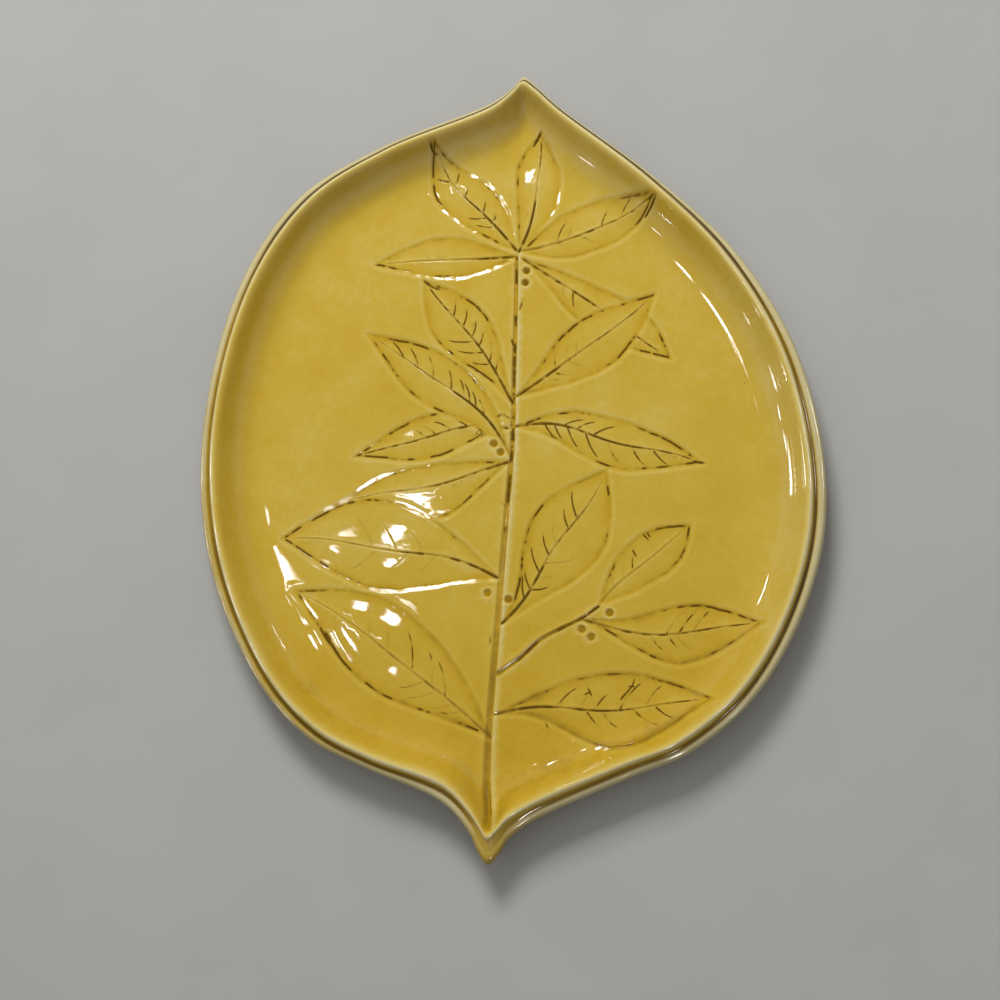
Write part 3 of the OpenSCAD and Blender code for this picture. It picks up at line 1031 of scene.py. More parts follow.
# The leaves from the top down. Each has its root, tip, left side, right side and midrib, then the
# veins of both sides, and then the stain of both sides, the midrib and the veins.
LEAVES: tuple[Leaf, ...] = (
    Leaf((-0.005, 0.54), (-0.29, 0.82), (0.13, 0.215, 0.215), (0.105, 0.135, 0.055), (0.01, 0.045, 0.065),
         (0.24, 0.34, 0.73), (0.22, 0.28, 0.39, 0.57, 0.68),
         (0.4, 0.7, 0.2, 0.7, 0.6, 1.0), (0.2, 0.2, 0.5, 0.7, 0.4, 1.0), (0.8, 0.7, 0.7), 0.7),
    Leaf((0, 0.535), (0.06, 0.86), (0.055, 0.11, 0.135), (0.155, 0.225, 0.175), (-0.05, -0.05, -0.035),
         (0.3, 0.5), (), (0.3, 0.35, 0.4, 0.5, 0.9), (0.2, 0.2, 0.2, 0.2), (0.9, 0.9, 0.5, 0.8), 0.45),
    Leaf((0.01, 0.54), (0.45, 0.675), (0.115, 0.155, 0.115), (0.155, 0.185, 0.15), (-0.035, -0.035, -0.025),
         (0.25, 0.33, 0.58, 0.72), (0.42,),
         (0.5, 0.3, 0.35, 0.35, 0.8), (0.4, 0.3, 0.3, 0.3, 0.7), (0.6, 0.6, 0.6), 0.6),
    Leaf((-0.005, 0.525), (-0.48, 0.5), (0.1, 0.125, 0.075), (0.11, 0.17, 0.12), (0, -0.005, -0.01),
         (), (), (0.25, 0.2, 0.35, 0.3, 0.7), (0.15, 0.2, 0.3, 0.2, 0.8), (0.85, 0.4, 0.2), 0.3),
    Leaf((0.015, 0.52), (0.51, 0.255), (0.07, 0.115, 0.13), (0.06, 0.12, 0.09), (0.005, 0.01, 0),
         (0.25,), (0.27, 0.34),
         (0.3, 0.35, 0.4, 0.35, 0.6), (0.2, 0.2, 0.3, 0.5, 0.9), (0.9, 0.9, 0.8, 0.8), 0.6),
    Leaf((0.005, 0.135), (-0.31, 0.46), (0.05, 0.14, 0.135), (0.1, 0.185, 0.15), (-0.03, -0.035, -0.01),
         (0.29, 0.38, 0.47), (0.235, 0.305, 0.43, 0.505, 0.595, 0.685),
         (0.3, 0.7, 0.4, 0.2, 0.3), (0.2, 0.3, 0.5, 0.65, 0.9), (0.8, 0.8, 0.7), 0.8),
    Leaf((0.005, 0), (-0.49, 0.315), (0.005, 0.08, 0.065), (0.14, 0.19, 0.135), (-0.07, -0.055, -0.03),
         (), (0.24, 0.3, 0.34, 0.38, 0.46, 0.57, 0.665, 0.76),
         (0.3, 0.3, 0.7, 0.5, 0.5, 0.4), (0.2, 0.2, 0.5, 0.35, 0.7, 0.6), (0.85, 0.75, 0.4), 0.8),
    Leaf((0.01, 0.15), (0.455, 0.43), (0.075, 0.14, 0.095), (0.105, 0.18, 0.14), (-0.01, -0.015, -0.02),
         (0.28, 0.36, 0.43), (0.21, 0.26, 0.36),
         (0.4, 0.5, 0.7, 0.5, 0.9), (0.25, 0.25, 0.3, 0.55, 0.3, 0.4), (0.75, 0.65, 0.5), 0.6),
    Leaf((-0.005, 0.07), (-0.505, -0.01), (0.045, 0.105, 0.07), (0.14, 0.185, 0.115), (-0.06, -0.04, -0.02),
         (0.13, 0.17), (0.25, 0.36, 0.46, 0.53),
         (0.3, 0.5, 0.6, 0.5, 0.8), (0.2, 0.5, 0.9, 0.7, 0.8), (0.6, 0.75, 0.7), 0.6),
    Leaf((0.015, 0.075), (0.62, -0.01), (0.135, 0.145, 0.105), (0.035, 0.115, 0.085), (0.055, 0.02, 0.02),
         (0.25, 0.32, 0.41), (0.15, 0.2, 0.27, 0.37, 0.49, 0.62, 0.73),
         (0.55, 0.5, 0.4, 0.45, 0.9), (0.2, 0.4, 0.5, 0.3, 0.9), (0.85, 0.8, 0.8), 0.85),
    Leaf((0.005, -0.015), (-0.53, -0.13), (0.145, 0.22, 0.08), (0.065, 0.1, 0.095), (0.02, 0.03, 0),
         (), (), (0.5, 0.5, 0.4, 0.3), (0.35, 0.35, 0.3, 0.3), (0.75, 0.55, 0.3), 0.3),
    Leaf((-0.015, -0.31), (-0.725, -0.225), (0.075, 0.145, 0.1), (0.165, 0.255, 0.21),
         (-0.05, -0.035, -0.035),
         (0.29, 0.42, 0.56), (0.2, 0.35, 0.47, 0.58),
         (0.25, 0.3, 0.25, 0.4, 0.8), (0.2, 0.3, 0.4, 0.7, 0.9), (0.85, 0.6, 0.25), 0.4),
    Leaf((0, -0.425), (0.315, -0.03), (0.06, 0.175, 0.15), (0.115, 0.22, 0.19), (-0.025, -0.005, -0.025),
         (0.18, 0.24, 0.34, 0.445, 0.52, 0.62, 0.69), (0.24, 0.31, 0.4),
         (0.7, 0.85, 0.7, 0.6, 0.3), (0.15, 0.25, 0.15, 0.3, 0.8, 0.4), (0.85, 0.7, 0.3), 0.8),
    Leaf((-0.015, -0.7), (-0.67, -0.355), (0.07, 0.13, 0.09), (0.135, 0.195, 0.165), (-0.02, -0.025, -0.03),
         (0.15, 0.2, 0.28, 0.345), (0.24, 0.31, 0.41, 0.54, 0.635),
         (0.6, 0.8, 0.7, 1.0, 0.7, 0.9), (0.2, 0.25, 0.3, 0.25, 0.6), (0.6, 0.45, 0.25), 0.65),
    Leaf((0.31, -0.365), (0.585, -0.165), (0.16, 0.22, 0.18), (0.105, 0.165, 0.165), (0.025, 0.01, 0.005),
         (0.16, 0.28, 0.38), (),
         (0.5, 0.35, 0.35, 0.4, 0.85), (0.2, 0.15, 0.3, 0.35, 0.8), (0.5, 0.35, 0.25), 0.5),
    Leaf((0.25, -0.405), (0.815, -0.405), (0.01, 0.085, 0.09), (0.125, 0.23, 0.165), (-0.06, -0.07, -0.025),
         (0.47, 0.54, 0.62), (0.32, 0.385, 0.48, 0.52),
         (0.3, 0.5, 0.55, 0.7, 0.6), (0.2, 0.6, 0.9, 0.6, 0.3, 0.4), (0.6, 0.55, 0.7, 0.6), 0.75),
    Leaf((-0.01, -0.645), (0.67, -0.59), (0.1, 0.155, 0.12), (0.05, 0.185, 0.135), (0.02, -0.015, -0.005),
         (0.29, 0.39, 0.46, 0.57, 0.69), (0.42, 0.49, 0.63, 0.73),
         (0.25, 0.35, 0.4, 0.5, 0.6), (0.2, 0.25, 0.35, 0.25, 0.2), (0.8, 0.8, 0.75, 0.5), 0.7),
)
# Single marks on some leaves, by the leaf's number: heavy tips, then forked veins and flecks.
MARK_SHARES: dict[int, tuple[tuple[Pair, ...], ...]] = {
    1: (((-0.299, 0.816), (-0.299, 0.803), (-0.291, 0.793), (-0.278, 0.792)),),
    2: (((0.06, 0.86), (0.049, 0.844), (0.033, 0.826)),),
    3: (((0.458, 0.682), (0.443, 0.654), (0.413, 0.622)), ((0.447, 0.667), (0.43, 0.663), (0.42, 0.66))),
    6: (((-0.309, 0.458), (-0.285, 0.444), (-0.254, 0.434)),),
    10: (((0.587, -0.005), (0.604, -0.008), (0.622, -0.009)),),
    14: (((-0.56, -0.457), (-0.524, -0.501), (-0.488, -0.537)),),
}
FLECK_SHARES: dict[int, tuple[tuple[Pair, ...], ...]] = {
    15: (((0.435, -0.19), (0.455, -0.206)), ((0.447, -0.186), (0.46, -0.2)),
         ((0.405, -0.23), (0.418, -0.248))),
    17: (((0.381, -0.598), (0.416, -0.563), (0.424, -0.545)), ((0.281, -0.572), (0.294, -0.592)),
         ((0.27, -0.588), (0.29, -0.58)), ((0.405, -0.565), (0.426, -0.564))),
}
# Leaves, counted from one, in the order in which they were pressed: a later one covers an earlier.
PRESS_ORDER: tuple[int, ...] = (4, 5, 9, 14, 17, 2, 7, 11, 6, 8, 12, 16, 3, 1, 10, 13, 15)
STEM_SHARES: tuple[Pair, ...] = (
    (0, -0.93), (-0.02, -0.8), (-0.02, -0.62), (-0.01, -0.415), (0, -0.18), (0.01, 0.04), (0.005, 0.2),
    (0, 0.41), (-0.005, 0.53),
)
TWIG_SHARES: tuple[Pair, ...] = (
    (-0.01, -0.55), (0.065, -0.505), (0.125, -0.46), (0.19, -0.43), (0.25, -0.405), (0.31, -0.37),
)
# Small buds and stubs beside the stem, each a short line.
BUD_SHARES: tuple[tuple[Pair, ...], ...] = (
    ((-0.008, 0.305), (-0.002, 0.285)),
    ((-0.045, 0.1), (-0.025, 0.105), (-0.002, 0.095)),
    ((-0.015, -0.12), (0.0, -0.132)),
    ((0.022, 0.403), (0.012, 0.378)),
    ((-0.029, -0.452), (-0.031, -0.475)),
    ((0.153, -0.66), (0.163, -0.672)),
)
# Berries: their places, and how much stain each holds.
BERRY_SHARES: tuple[Triple, ...] = (
    (0.03, 0.487, 0.8), (0.028, 0.455, 0.8), (-0.05, 0.03, 0.5), (-0.027, 0.008, 0.5),
    (-0.047, -0.348, 0.2), (0.02, -0.362, 0.55), (0.255, -0.43, 0.45), (0.285, -0.448, 0.4),
    (0.34, -0.388, 0.45),
)


@dataclass
class Relief:
    """What the print does to the floor at some points: height, glaze thickness and stain."""

    height: Array
    glaze: Array
    stain: Array


@dataclass
class Sprig:
    """The print of the leafy sprig: its leaves, stem, twig, buds and berries.

    Spans, and places with their half widths, are counted inwards from a leaf's outline. Sizes are
    in millimetres, and names that end in glaze or stain are levels.
    """

    form: PlateForm
    reach: float = 6.0
    step_depth: float = 0.4
    step_span: Pair = (-1.8, 0.9)
    step_uneven: Pair = (0.85, 0.15)
    step_wave: float = 17.0
    pillow: float = 0.2
    pillow_span: Pair = (1.8, 10.0)
    burr: float = 0.13
    burr_place: Pair = (-2.4, 1.3)
    burr_uneven: Pair = (0.5, 0.6)
    burr_wave: float = 6.0
    pool_glaze: Pair = (0.08, 0.07)
    pool_place: Pair = (0.8, 2.1)
    pool_span: Pair = (-1.6, 0.4)
    thin_glaze: float = 0.1
    thin_place: Pair = (-1.2, 0.7)
    line_reach_share: float = 3.0
    line_end: float = 2.0
    line_end_share: float = 0.3
    shoulder_shares: Pair = (1.5, 0.75)
    shoulder_glaze: float = 1.2
    shoulder_drop: float = 0.2
    groove_glaze: float = 0.18
    full_groove: float = 0.6
    bleed_share: float = 0.85
    bleed_power: float = 1.5
    berry_r: float = 2.1
    berry_depth: float = 0.9
    berry_flat_share: float = 0.45
    berry_rim: float = 0.18
    berry_rim_share: float = 1.2
    berry_rim_w: float = 0.6
    berry_stain: float = 0.45
    berry_sides: int = 14
    berry_rings: tuple[float, ...] = (0.6, 1.1, 1.6, 2.1, 2.7)
    edge_offsets: tuple[float, ...] = (-2, -1.3, -0.7, -0.2, 0.25, 0.7, 1.2, 1.8, 2.5, 3.3)
    mark_stain: tuple[float, ...] = (0.85, 1.0, 0.9)
    stem_stain: tuple[float, ...] = (0.1, 0.15, 0.35, 0.5, 0.6, 0.65, 0.75, 0.8)
    twig_stain: tuple[float, ...] = (0.6, 0.7, 0.8)
    bud_stain: tuple[float, ...] = (0.6, 0.7)
    leaf_seed: float = 0.37
    mark_seed: float = 0.53
    stem_seed: float = 0.3
    twig_seed: float = 0.8
    bud_seed: float = 0.21
    mark_steps: int = 6
    stem_steps: int = 8
    blades: dict[int, Array] = field(init=False)
    leaf_lines: dict[int, list[PrintLine]] = field(init=False)
    stem_lines: list[PrintLine] = field(init=False)
    twig_lines: list[PrintLine] = field(init=False)
    berries: Array = field(init=False)

    def __post_init__(self) -> None:
        """Draw the lines, and cut those of each leaf where a later one covers it."""
        scale = np.array([self.form.half_w, self.form.half_l])
        self.blades = {number: LEAVES[number - 1].blade(self.form) for number in PRESS_ORDER}
        self.leaf_lines = {}
        for place, number in enumerate(PRESS_ORDER):
            lines = LEAVES[number - 1].lines(self.form, number * self.leaf_seed)
            for kind, marks in ((LineKind.RIB, MARK_SHARES), (LineKind.VEIN, FLECK_SHARES)):
                seed = number * self.mark_seed
                for mark in marks.get(number, ()):
                    points = spline_chain(np.array(mark) * scale, self.mark_steps)
                    line = PrintLine.drawn(kind, points, self.mark_stain, seed, taper=0.7, broken=0.2)
                    lines.append(line)
            for later in PRESS_ORDER[place + 1:]:
                blade = self.blades[later]
                lines = [part for line in lines for part in line.kept(~inside(line.path, blade))]
            self.leaf_lines[number] = lines
        points = spline_chain(np.array(STEM_SHARES) * scale, self.stem_steps)
        line = PrintLine.drawn(LineKind.STEM, points, self.stem_stain, self.stem_seed, taper=0.5, broken=0.6)
        self.stem_lines = [line]
        points = spline_chain(np.array(TWIG_SHARES) * scale, self.stem_steps)
        line = PrintLine.drawn(LineKind.TWIG, points, self.twig_stain, self.twig_seed, taper=0.6, broken=0.5)
        self.twig_lines = [line]
        for number, bud in enumerate(BUD_SHARES):
            points, seed = np.array(bud) * scale, number * self.bud_seed
            line = PrintLine.drawn(LineKind.RIB, points, self.bud_stain, seed, taper=0.6, broken=0.2)
            self.stem_lines.append(line)
        self.berries = np.array(BERRY_SHARES) * (*scale, 1.0)

    def lines(self) -> list[PrintLine]:
        """Every line of the print."""
        leaves = [line for lines in self.leaf_lines.values() for line in lines]
        return [*self.stem_lines, *self.twig_lines, *leaves]

    def mesh_points(self) -> Array:
        """Points that let a mesh take the print: along the lines, the leaves' edges and the berries.

        Returns:
            The points.
        """
        points = [line.mesh_points() for line in self.lines()]
        for blade in self.blades.values():
            aside = left_of(np.vstack([blade[-1], blade, blade[0]]))[1:-1]
            points += [blade + aside * offset for offset in self.edge_offsets]
        circle = unit_circle(self.berry_sides)
        for berry in self.berries:
            points += [berry[None, :2]] + [berry[:2] + circle * radius for radius in self.berry_rings]
        return np.concatenate(points)

    def press(self, points: Array) -> Relief:
        """Work out the print at some points.

        Args:
            points: places on the floor and the wall.

        Returns:
            The print's height, glaze and stain at each place.
        """
        relief = Relief(*(np.zeros(len(points)) for _ in range(3)))
        for number in PRESS_ORDER:
            self.press_blade(points, self.blades[number], relief)
        grooves, shoulders = np.zeros(len(points)), np.zeros(len(points))
        for line in self.lines():
            self.press_line(points, line, grooves, shoulders, relief)
        for berry in self.berries:
            gap = np.linalg.norm(points - berry[:2], axis=1)
            pit = 1 - smooth_step(gap, self.berry_flat_share * self.berry_r, self.berry_r)
            rim = self.berry_rim * hill(gap, self.berry_rim_share * self.berry_r, self.berry_rim_w)
            grooves[:] = np.minimum(grooves, -self.berry_depth * pit)
            shoulders[:] = np.maximum(shoulders, rim)
            relief.stain = np.maximum(relief.stain, self.berry_stain * berry[2] * pit)
        raised = shoulders * (1 - np.clip(-grooves / self.shoulder_drop, 0, 1))
        relief.height += grooves + raised
        relief.glaze += self.groove_glaze * np.clip(-grooves / self.full_groove, 0, 1)
        relief.glaze -= self.shoulder_glaze * raised
        return relief

    def press_blade(self, points: Array, blade: Array, relief: Relief) -> None:
        """Press one leaf's blade into the relief, over what lies under it.

        Args:
            points: places on the floor and the wall.
            blade: the leaf's outline.
            relief: takes the press.
        """
        near = near_to(points, blade, self.reach)
        gap, spot = nearest_on_path(points[near], np.vstack([blade, blade[:1]]))
        depth = np.where(inside(points[near], blade), gap, -gap)
        cover = smooth_step(depth, *self.step_span)
        steps = np.arange(len(blade) + 1.0)
        step_wave = np.interp(spot, steps, uneven(steps, self.step_wave, blade[0, 0]))
        burr_wave = np.interp(spot, steps, uneven(steps, self.burr_wave, blade[0, 1]))
        pressed = self.step_uneven[0] + self.step_uneven[1] * step_wave
        pushed = np.clip(self.burr_uneven[0] + self.burr_uneven[1] * burr_wave, 0.0, 1.0)
        height = (
            -self.step_depth * pressed * cover
            + self.pillow * smooth_step(depth, *self.pillow_span)
            + self.burr * pushed * hill(depth, *self.burr_place)
        )
        pooled = self.pool_glaze[0] + self.pool_glaze[1] * pushed
        glaze = pooled * hill(depth, *self.pool_place) * smooth_step(depth, *self.pool_span)
        glaze -= self.thin_glaze * hill(depth, *self.thin_place)
        relief.height[near] = relief.height[near] * (1 - cover) + height
        relief.glaze[near] = relief.glaze[near] * (1 - cover) + glaze

    def press_line(
        self, points: Array, line: PrintLine, grooves: Array, shoulders: Array, relief: Relief
    ) -> None:
        """Press one line: deepen its groove, raise its shoulders and spread its stain.

        Args:
            points: places on the floor and the wall.
            line: the line.
            grooves: heights of all grooves so far.
            shoulders: heights of all shoulders so far.
            relief: takes the stain.
        """
        groove = line.kind.value
        near = near_to(points, line.path, self.line_reach_share * groove.half_width)
        if not len(near):
            return
        gap, spot = nearest_on_path(points[near], line.path)
        steps = np.arange(len(line.path))
        half = groove.half_width * np.interp(spot, steps, line.width)
        level = np.interp(spot, steps, line.stain)
        ends = smooth_step(np.minimum(spot, steps[-1] - spot), 0.0, self.line_end)
        ends = self.line_end_share + (1 - self.line_end_share) * ends
        k = np.minimum(spot.astype(int), len(line.path) - 2)
        run, off = line.path[k + 1] - line.path[k], points[near] - line.path[k]
        on_left = run[:, 0] * off[:, 1] - run[:, 1] * off[:, 0] > 0
        raised = groove.shoulder * (1 - groove.lean * on_left)
        dip = (1 - smooth_step(gap / half, groove.flat, 1.0)) * ends
        depth = groove.depth * (groove.faint + (1 - groove.faint) * level)
        grooves[near] = np.minimum(grooves[near], -depth * dip)
        place, width = (share * half for share in self.shoulder_shares)
        shoulders[near] = np.maximum(shoulders[near], raised * hill(gap, place, width) * ends)
        spread = groove.bleed * level**self.bleed_power * hill(gap, 0.0, self.bleed_share * half) * ends
        relief.stain[near] = np.maximum(relief.stain[near], spread)


@dataclass
class MeshDraft:
    """Points, faces and point values of a piece before it becomes a mesh."""

    points: list[Array] = field(default_factory=list)
    faces: list[tuple[int, ...]] = field(default_factory=list)
    glaze: list[Array] = field(default_factory=list)
    stain: list[Array] = field(default_factory=list)
    facing: list[Array] = field(default_factory=list)
    count: int = 0
    crease: float = 75.0

    def add(
        self,
        points: Array,
        glaze: Array | float = 0.45,
        stain: Array | float = 0.0,
        facing: Array | float = 0.0,
    ) -> int:
        """Add points to the draft.

        Args:
            points: their places.
            glaze: thickness of glaze at each.
            stain: level of stain at each.
            facing: the way the surface faces at each, or nought where the faces give it.

        Returns:
            The first one's number.
        """
        first = self.count
        self.points.append(points)
        self.facing.append(np.broadcast_to(facing, points.shape))
        self.glaze.append(np.broadcast_to(glaze, len(points)))
        self.stain.append(np.broadcast_to(stain, len(points)))
        self.count += len(points)
        return first

    def loft(self, starts: Sequence[int], around: int, closed: bool = True) -> None:
        """Join rings of points by quads, each to the next.

        Args:
            starts: the first point's number in each ring.
            around: points in a ring.
            closed: whether the last ring is joined to the first.
        """
        after = [*starts[1:], starts[0]] if closed else starts[1:]
        for low, high in zip(starts, after, strict=closed):
            for i in range(around):
                j = (i + 1) % around
                self.faces.append((low + i, low + j, high + j, high + i))

    def piece(self, name: str, finish: Finish, slot: str, nodes: Sequence[str]) -> None:
        """Make the mesh, dress it and put it on the plate.

        Args:
            name: name of the piece.
            finish: its finish.
            slot: not used.
            nodes: CAD nodes that it stands for.
        """
        mesh = bpy.data.meshes.new(name)
        mesh.from_pydata((np.concatenate(self.points) * MM).tolist(), [], self.faces)
        for key, values in (("glaze", self.glaze), ("stain", self.stain)):
            layer = mesh.attributes.new(key, "FLOAT", "POINT")
            layer.data.foreach_set("value", np.concatenate(values).astype(np.float32))
        work = bmesh.new()
        work.from_mesh(mesh)
        bmesh.ops.recalc_face_normals(work, faces=work.faces)
        work.to_mesh(mesh)
        work.free()
        mesh.shade_smooth()
        mesh.set_sharp_from_angle(angle=math.radians(self.crease))
        facing = np.concatenate(self.facing)
        if facing.any():
            mesh.normals_split_custom_set_from_vertices(facing.tolist())
        mesh.materials.append(finish.material())
        made = bpy.data.objects.new(name, mesh)
        bpy.context.scene.collection.objects.link(made)
        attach(made, "root")
        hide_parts(*nodes)
        LOG.info("%s: %d points, %d faces", name, len(mesh.vertices), len(mesh.polygons))


@dataclass(frozen=True)
class GlazeRun:
    """A stretch of thicker or thinner glaze: by how much, where its middle lies, its half width."""

    change: float
    middle: float
    width: float

    def at(self, places: Array | float) -> Array | float:
        """The change in thickness at each place."""
        return self.change * hill(places, self.middle, self.width)


@dataclass
class DishSlab:
    """The rolled slab raised into a lipped dish, with the sprig pressed into its floor.

    The runs of glaze lie at insets from the dish's edge. Those called low show towards the stalk,
    and the pale sheen one, a painted reflection, at the top and on the right, over spans in
    millimetres from the middle.
    """

    keep_inside: ClassVar[int] = 1
    weld: ClassVar[float] = 1e-6

    form: PlateForm
    sprig: Sprig
    join_inset: float = 4.2
    join_gap: float = 0.6
    grid: float = 2.8
    grid_gap: float = 1.5
    least_gap: float = 0.27
    base_grid: float = 11.2
    base_half: Pair = (120.0, 160.0)
    floor_glaze: float = 0.45
    # The floor deepens towards the stalk: partly glaze that pooled there, partly painted light that keeps
    # the upper floor paler as if more lit.
    low_pool_and_shade: float = 0.14
    under_glaze: float = 0.33
    # Thicker glaze down the wall: partly glaze that pooled there, partly painted shade that darkens the wall
    # below the lip.
    wall_run: GlazeRun = GlazeRun(0.08, 11.0, 7.0)
    low_wall_run: GlazeRun = GlazeRun(-0.05, 11.0, 7.0)
    # Painted reflection: a paler wall at the top and on the right.
    pale_sheen_wall_run: GlazeRun = GlazeRun(-0.16, 9.0, 7.0)
    lip_run: GlazeRun = GlazeRun(-0.38, 2.1, 1.1)
    low_lip_run: GlazeRun = GlazeRun(-0.22, 3.5, 3.0)
    seam_run: GlazeRun = GlazeRun(0.4, 0.0, 0.7)
    low_span: Pair = (20.0, 140.0)
    north_span: Pair = (60.0, 150.0)
    east_span: Pair = (70.0, 120.0)
    lip_insets: tuple[float, ...] = (4.2, 3.8, 3.4, 3, 2.6, 2.2, 1.8, 1.4, 1.05, 0.75, 0.5, 0.3, 0.12, 0)
    wall_insets: tuple[float, ...] = (4.9, 5.7, 6.6, 7.6, 8.8, 10.2, 12, 14, 16, 18, 20, 22.5, 25)

    def glaze_at(self, insets: Array, points: Array) -> Array:
        """Glaze thickness of the bare form: thin on the lip, pooled in the seam and low on the wall, with
        painted shade on the wall and a painted reflection that pales it at the top and on the right.

        Args:
            insets: how far in from the dish's edge.
            points: the plan places.

        Returns:
            The thickness at each.
        """
        low = smooth_step(-points[:, 1], *self.low_span)
        north = smooth_step(points[:, 1], *self.north_span)
        east = smooth_step(points[:, 0], *self.east_span)
        # Deeper towards the stalk: partly pooled glaze, partly painted light that keeps the upper floor
        # paler.
        glaze = self.floor_glaze + self.low_pool_and_shade * low
        # The wall run darkens the wall: partly pooled glaze, partly painted shade below the lip.
        for run in (self.wall_run, self.lip_run, self.seam_run):
            glaze = glaze + run.at(insets)
        # Towards the stalk the lip and the wall are made paler.
        for run in (self.low_wall_run, self.low_lip_run):
            glaze = glaze + low * run.at(insets)
        # Painted reflection: the wall grows paler towards the top and the right.
        return glaze + np.maximum(north, east) * self.pale_sheen_wall_run.at(insets)

    def surface(self, points: Array) -> tuple[Array, Array, Array]:
        """Height, glaze and stain of the dish's upper face.

        Args:
            points: plan places inside the lip.

        Returns:
            The three values at each.
        """
        insets, places = self.form.inset_of(points)
        relief = self.sprig.press(points)
        level = self.form.rim_z(insets, places) + self.form.floor_swell(points, insets) + relief.height
        return level, np.clip(self.glaze_at(insets, points) + relief.glaze, 0, 1), relief.stain

    def facing(self, points: Array, level: Array, step: float = 0.15) -> Array:
        """Unit vectors square to the upper face, from its heights a small step away.

        Args:
            points: places inside the lip.
            level: the face's height at each.
            step: how far away the other heights are read.

        Returns:
            One vector for each point.
        """
        falls = [level - self.surface(points + shift)[0] for shift in ((step, 0), (0, step))]
        square = np.column_stack([*falls, np.full(len(points), step)])
        return square / np.linalg.norm(square, axis=1)[:, None]

    def floor_points(self) -> Array:
        """Plan points of the floor and wall: rings, print and a level grid, none too close.

        Returns:
            The points.
        """
        rings = [self.form.ring_in(inset)[k % 2::2] for k, inset in enumerate(self.wall_insets)]
        rows = np.arange(-self.form.half_l, self.form.half_l, self.grid * TRIANGLE_SHARE)
        across = np.arange(-self.form.half_w, self.form.half_w, self.grid)
        grid = np.array([(x + (k % 2) * self.grid / 2, y) for k, y in enumerate(rows) for x in across])
        grid = grid[inside(grid, self.form.ring_in(self.wall_insets[-1] + self.grid_gap))]
        points = np.concatenate([self.sprig.mesh_points(), *rings, grid])
        points = points[inside(points, self.form.ring_in(self.join_inset + self.join_gap))]
        # One point is kept in each small cell. The second pass has its cells half a cell aside.
        for shift in (0.0, 0.5):
            cells = np.floor(points / self.least_gap + shift)
            _, first = np.unique(cells, axis=0, return_index=True)
            points = points[np.sort(first)]
        return points

    def build(self) -> None:
        """Make the dish: lip by rings, floor by triangles, then the underside."""
        draft = MeshDraft()
        around = len(self.form.edge)
        starts = []
        for inset in self.lip_insets:
            ring = self.form.lip_ring(inset)
            starts.append(draft.add(ring, self.glaze_at(np.full(around, inset), ring)))
        self.add_floor(draft)
        run = self.form.lip_w + self.form.base_run_share * self.form.wall_run
        rise = self.form.band_low_z - self.form.foot_h
        under = np.array(UNDER_SHARES) * (run, rise) + (0, self.form.foot_h)
        for inset, level in spline_chain(under, SECTION_STEPS):
            starts.append(draft.add(at_level(self.form.ring_in(inset), level), self.under_glaze))
        draft.loft(starts, around, closed=False)
        self.add_base(draft, starts[-1], run)
        draft.piece("dish_slab_dressed", AMBER_GLAZE, "amber_glaze", ["dish_slab"])

    def add_floor(self, draft: MeshDraft) -> None:
        """Fill the lip's inner ring with a mesh that follows the print.

        Args:
            draft: takes the mesh.
        """
        ring = self.form.ring_in(self.join_inset)
        points = self.floor_points()
        level, glaze, stain = self.surface(points)
        first = draft.add(at_level(points, level), glaze, stain, self.facing(points, level))
        numbers = np.concatenate([np.arange(len(ring)), first + np.arange(len(points))])
        self.fill(draft, np.concatenate([ring, points]), numbers, len(ring))

    def add_base(self, draft: MeshDraft, first: int, run: float) -> None:
        """Close the flat base inside the underside's last ring.

        Args:
            draft: takes the mesh.
            first: number of the ring's first point.
            run: the ring's inset.
        """
        ring = self.form.ring_in(run)
        x, y = np.meshgrid(*(np.arange(-half, half, self.base_grid) for half in self.base_half))
        points = np.column_stack([x.ravel(), y.ravel()])
        points = points[inside(points, self.form.ring_in(run + self.base_grid / 2))]
        start = draft.add(at_level(points, self.form.foot_h), self.under_glaze)
        numbers = np.concatenate([first + np.arange(len(ring)), start + np.arange(len(points))])
        self.fill(draft, np.concatenate([ring, points]), numbers, len(ring))

    def fill(self, draft: MeshDraft, points: Array, numbers: Array, around: int) -> None:
        """Triangulate points inside the ring that the first of them make.

        Args:
            draft: takes the faces.
            points: plan places, with the ring's first.
            numbers: the draft's number of each.
            around: points in the ring.
        """
        plan, ring = [Vector(p) for p in points], list(range(around))
        found = delaunay_2d_cdt(plan, [], [ring], self.keep_inside, self.weld)
        names = [numbers[sources[0]] for sources in found[3]]
        draft.faces += [tuple(int(names[k]) for k in face) for face in found[2]]


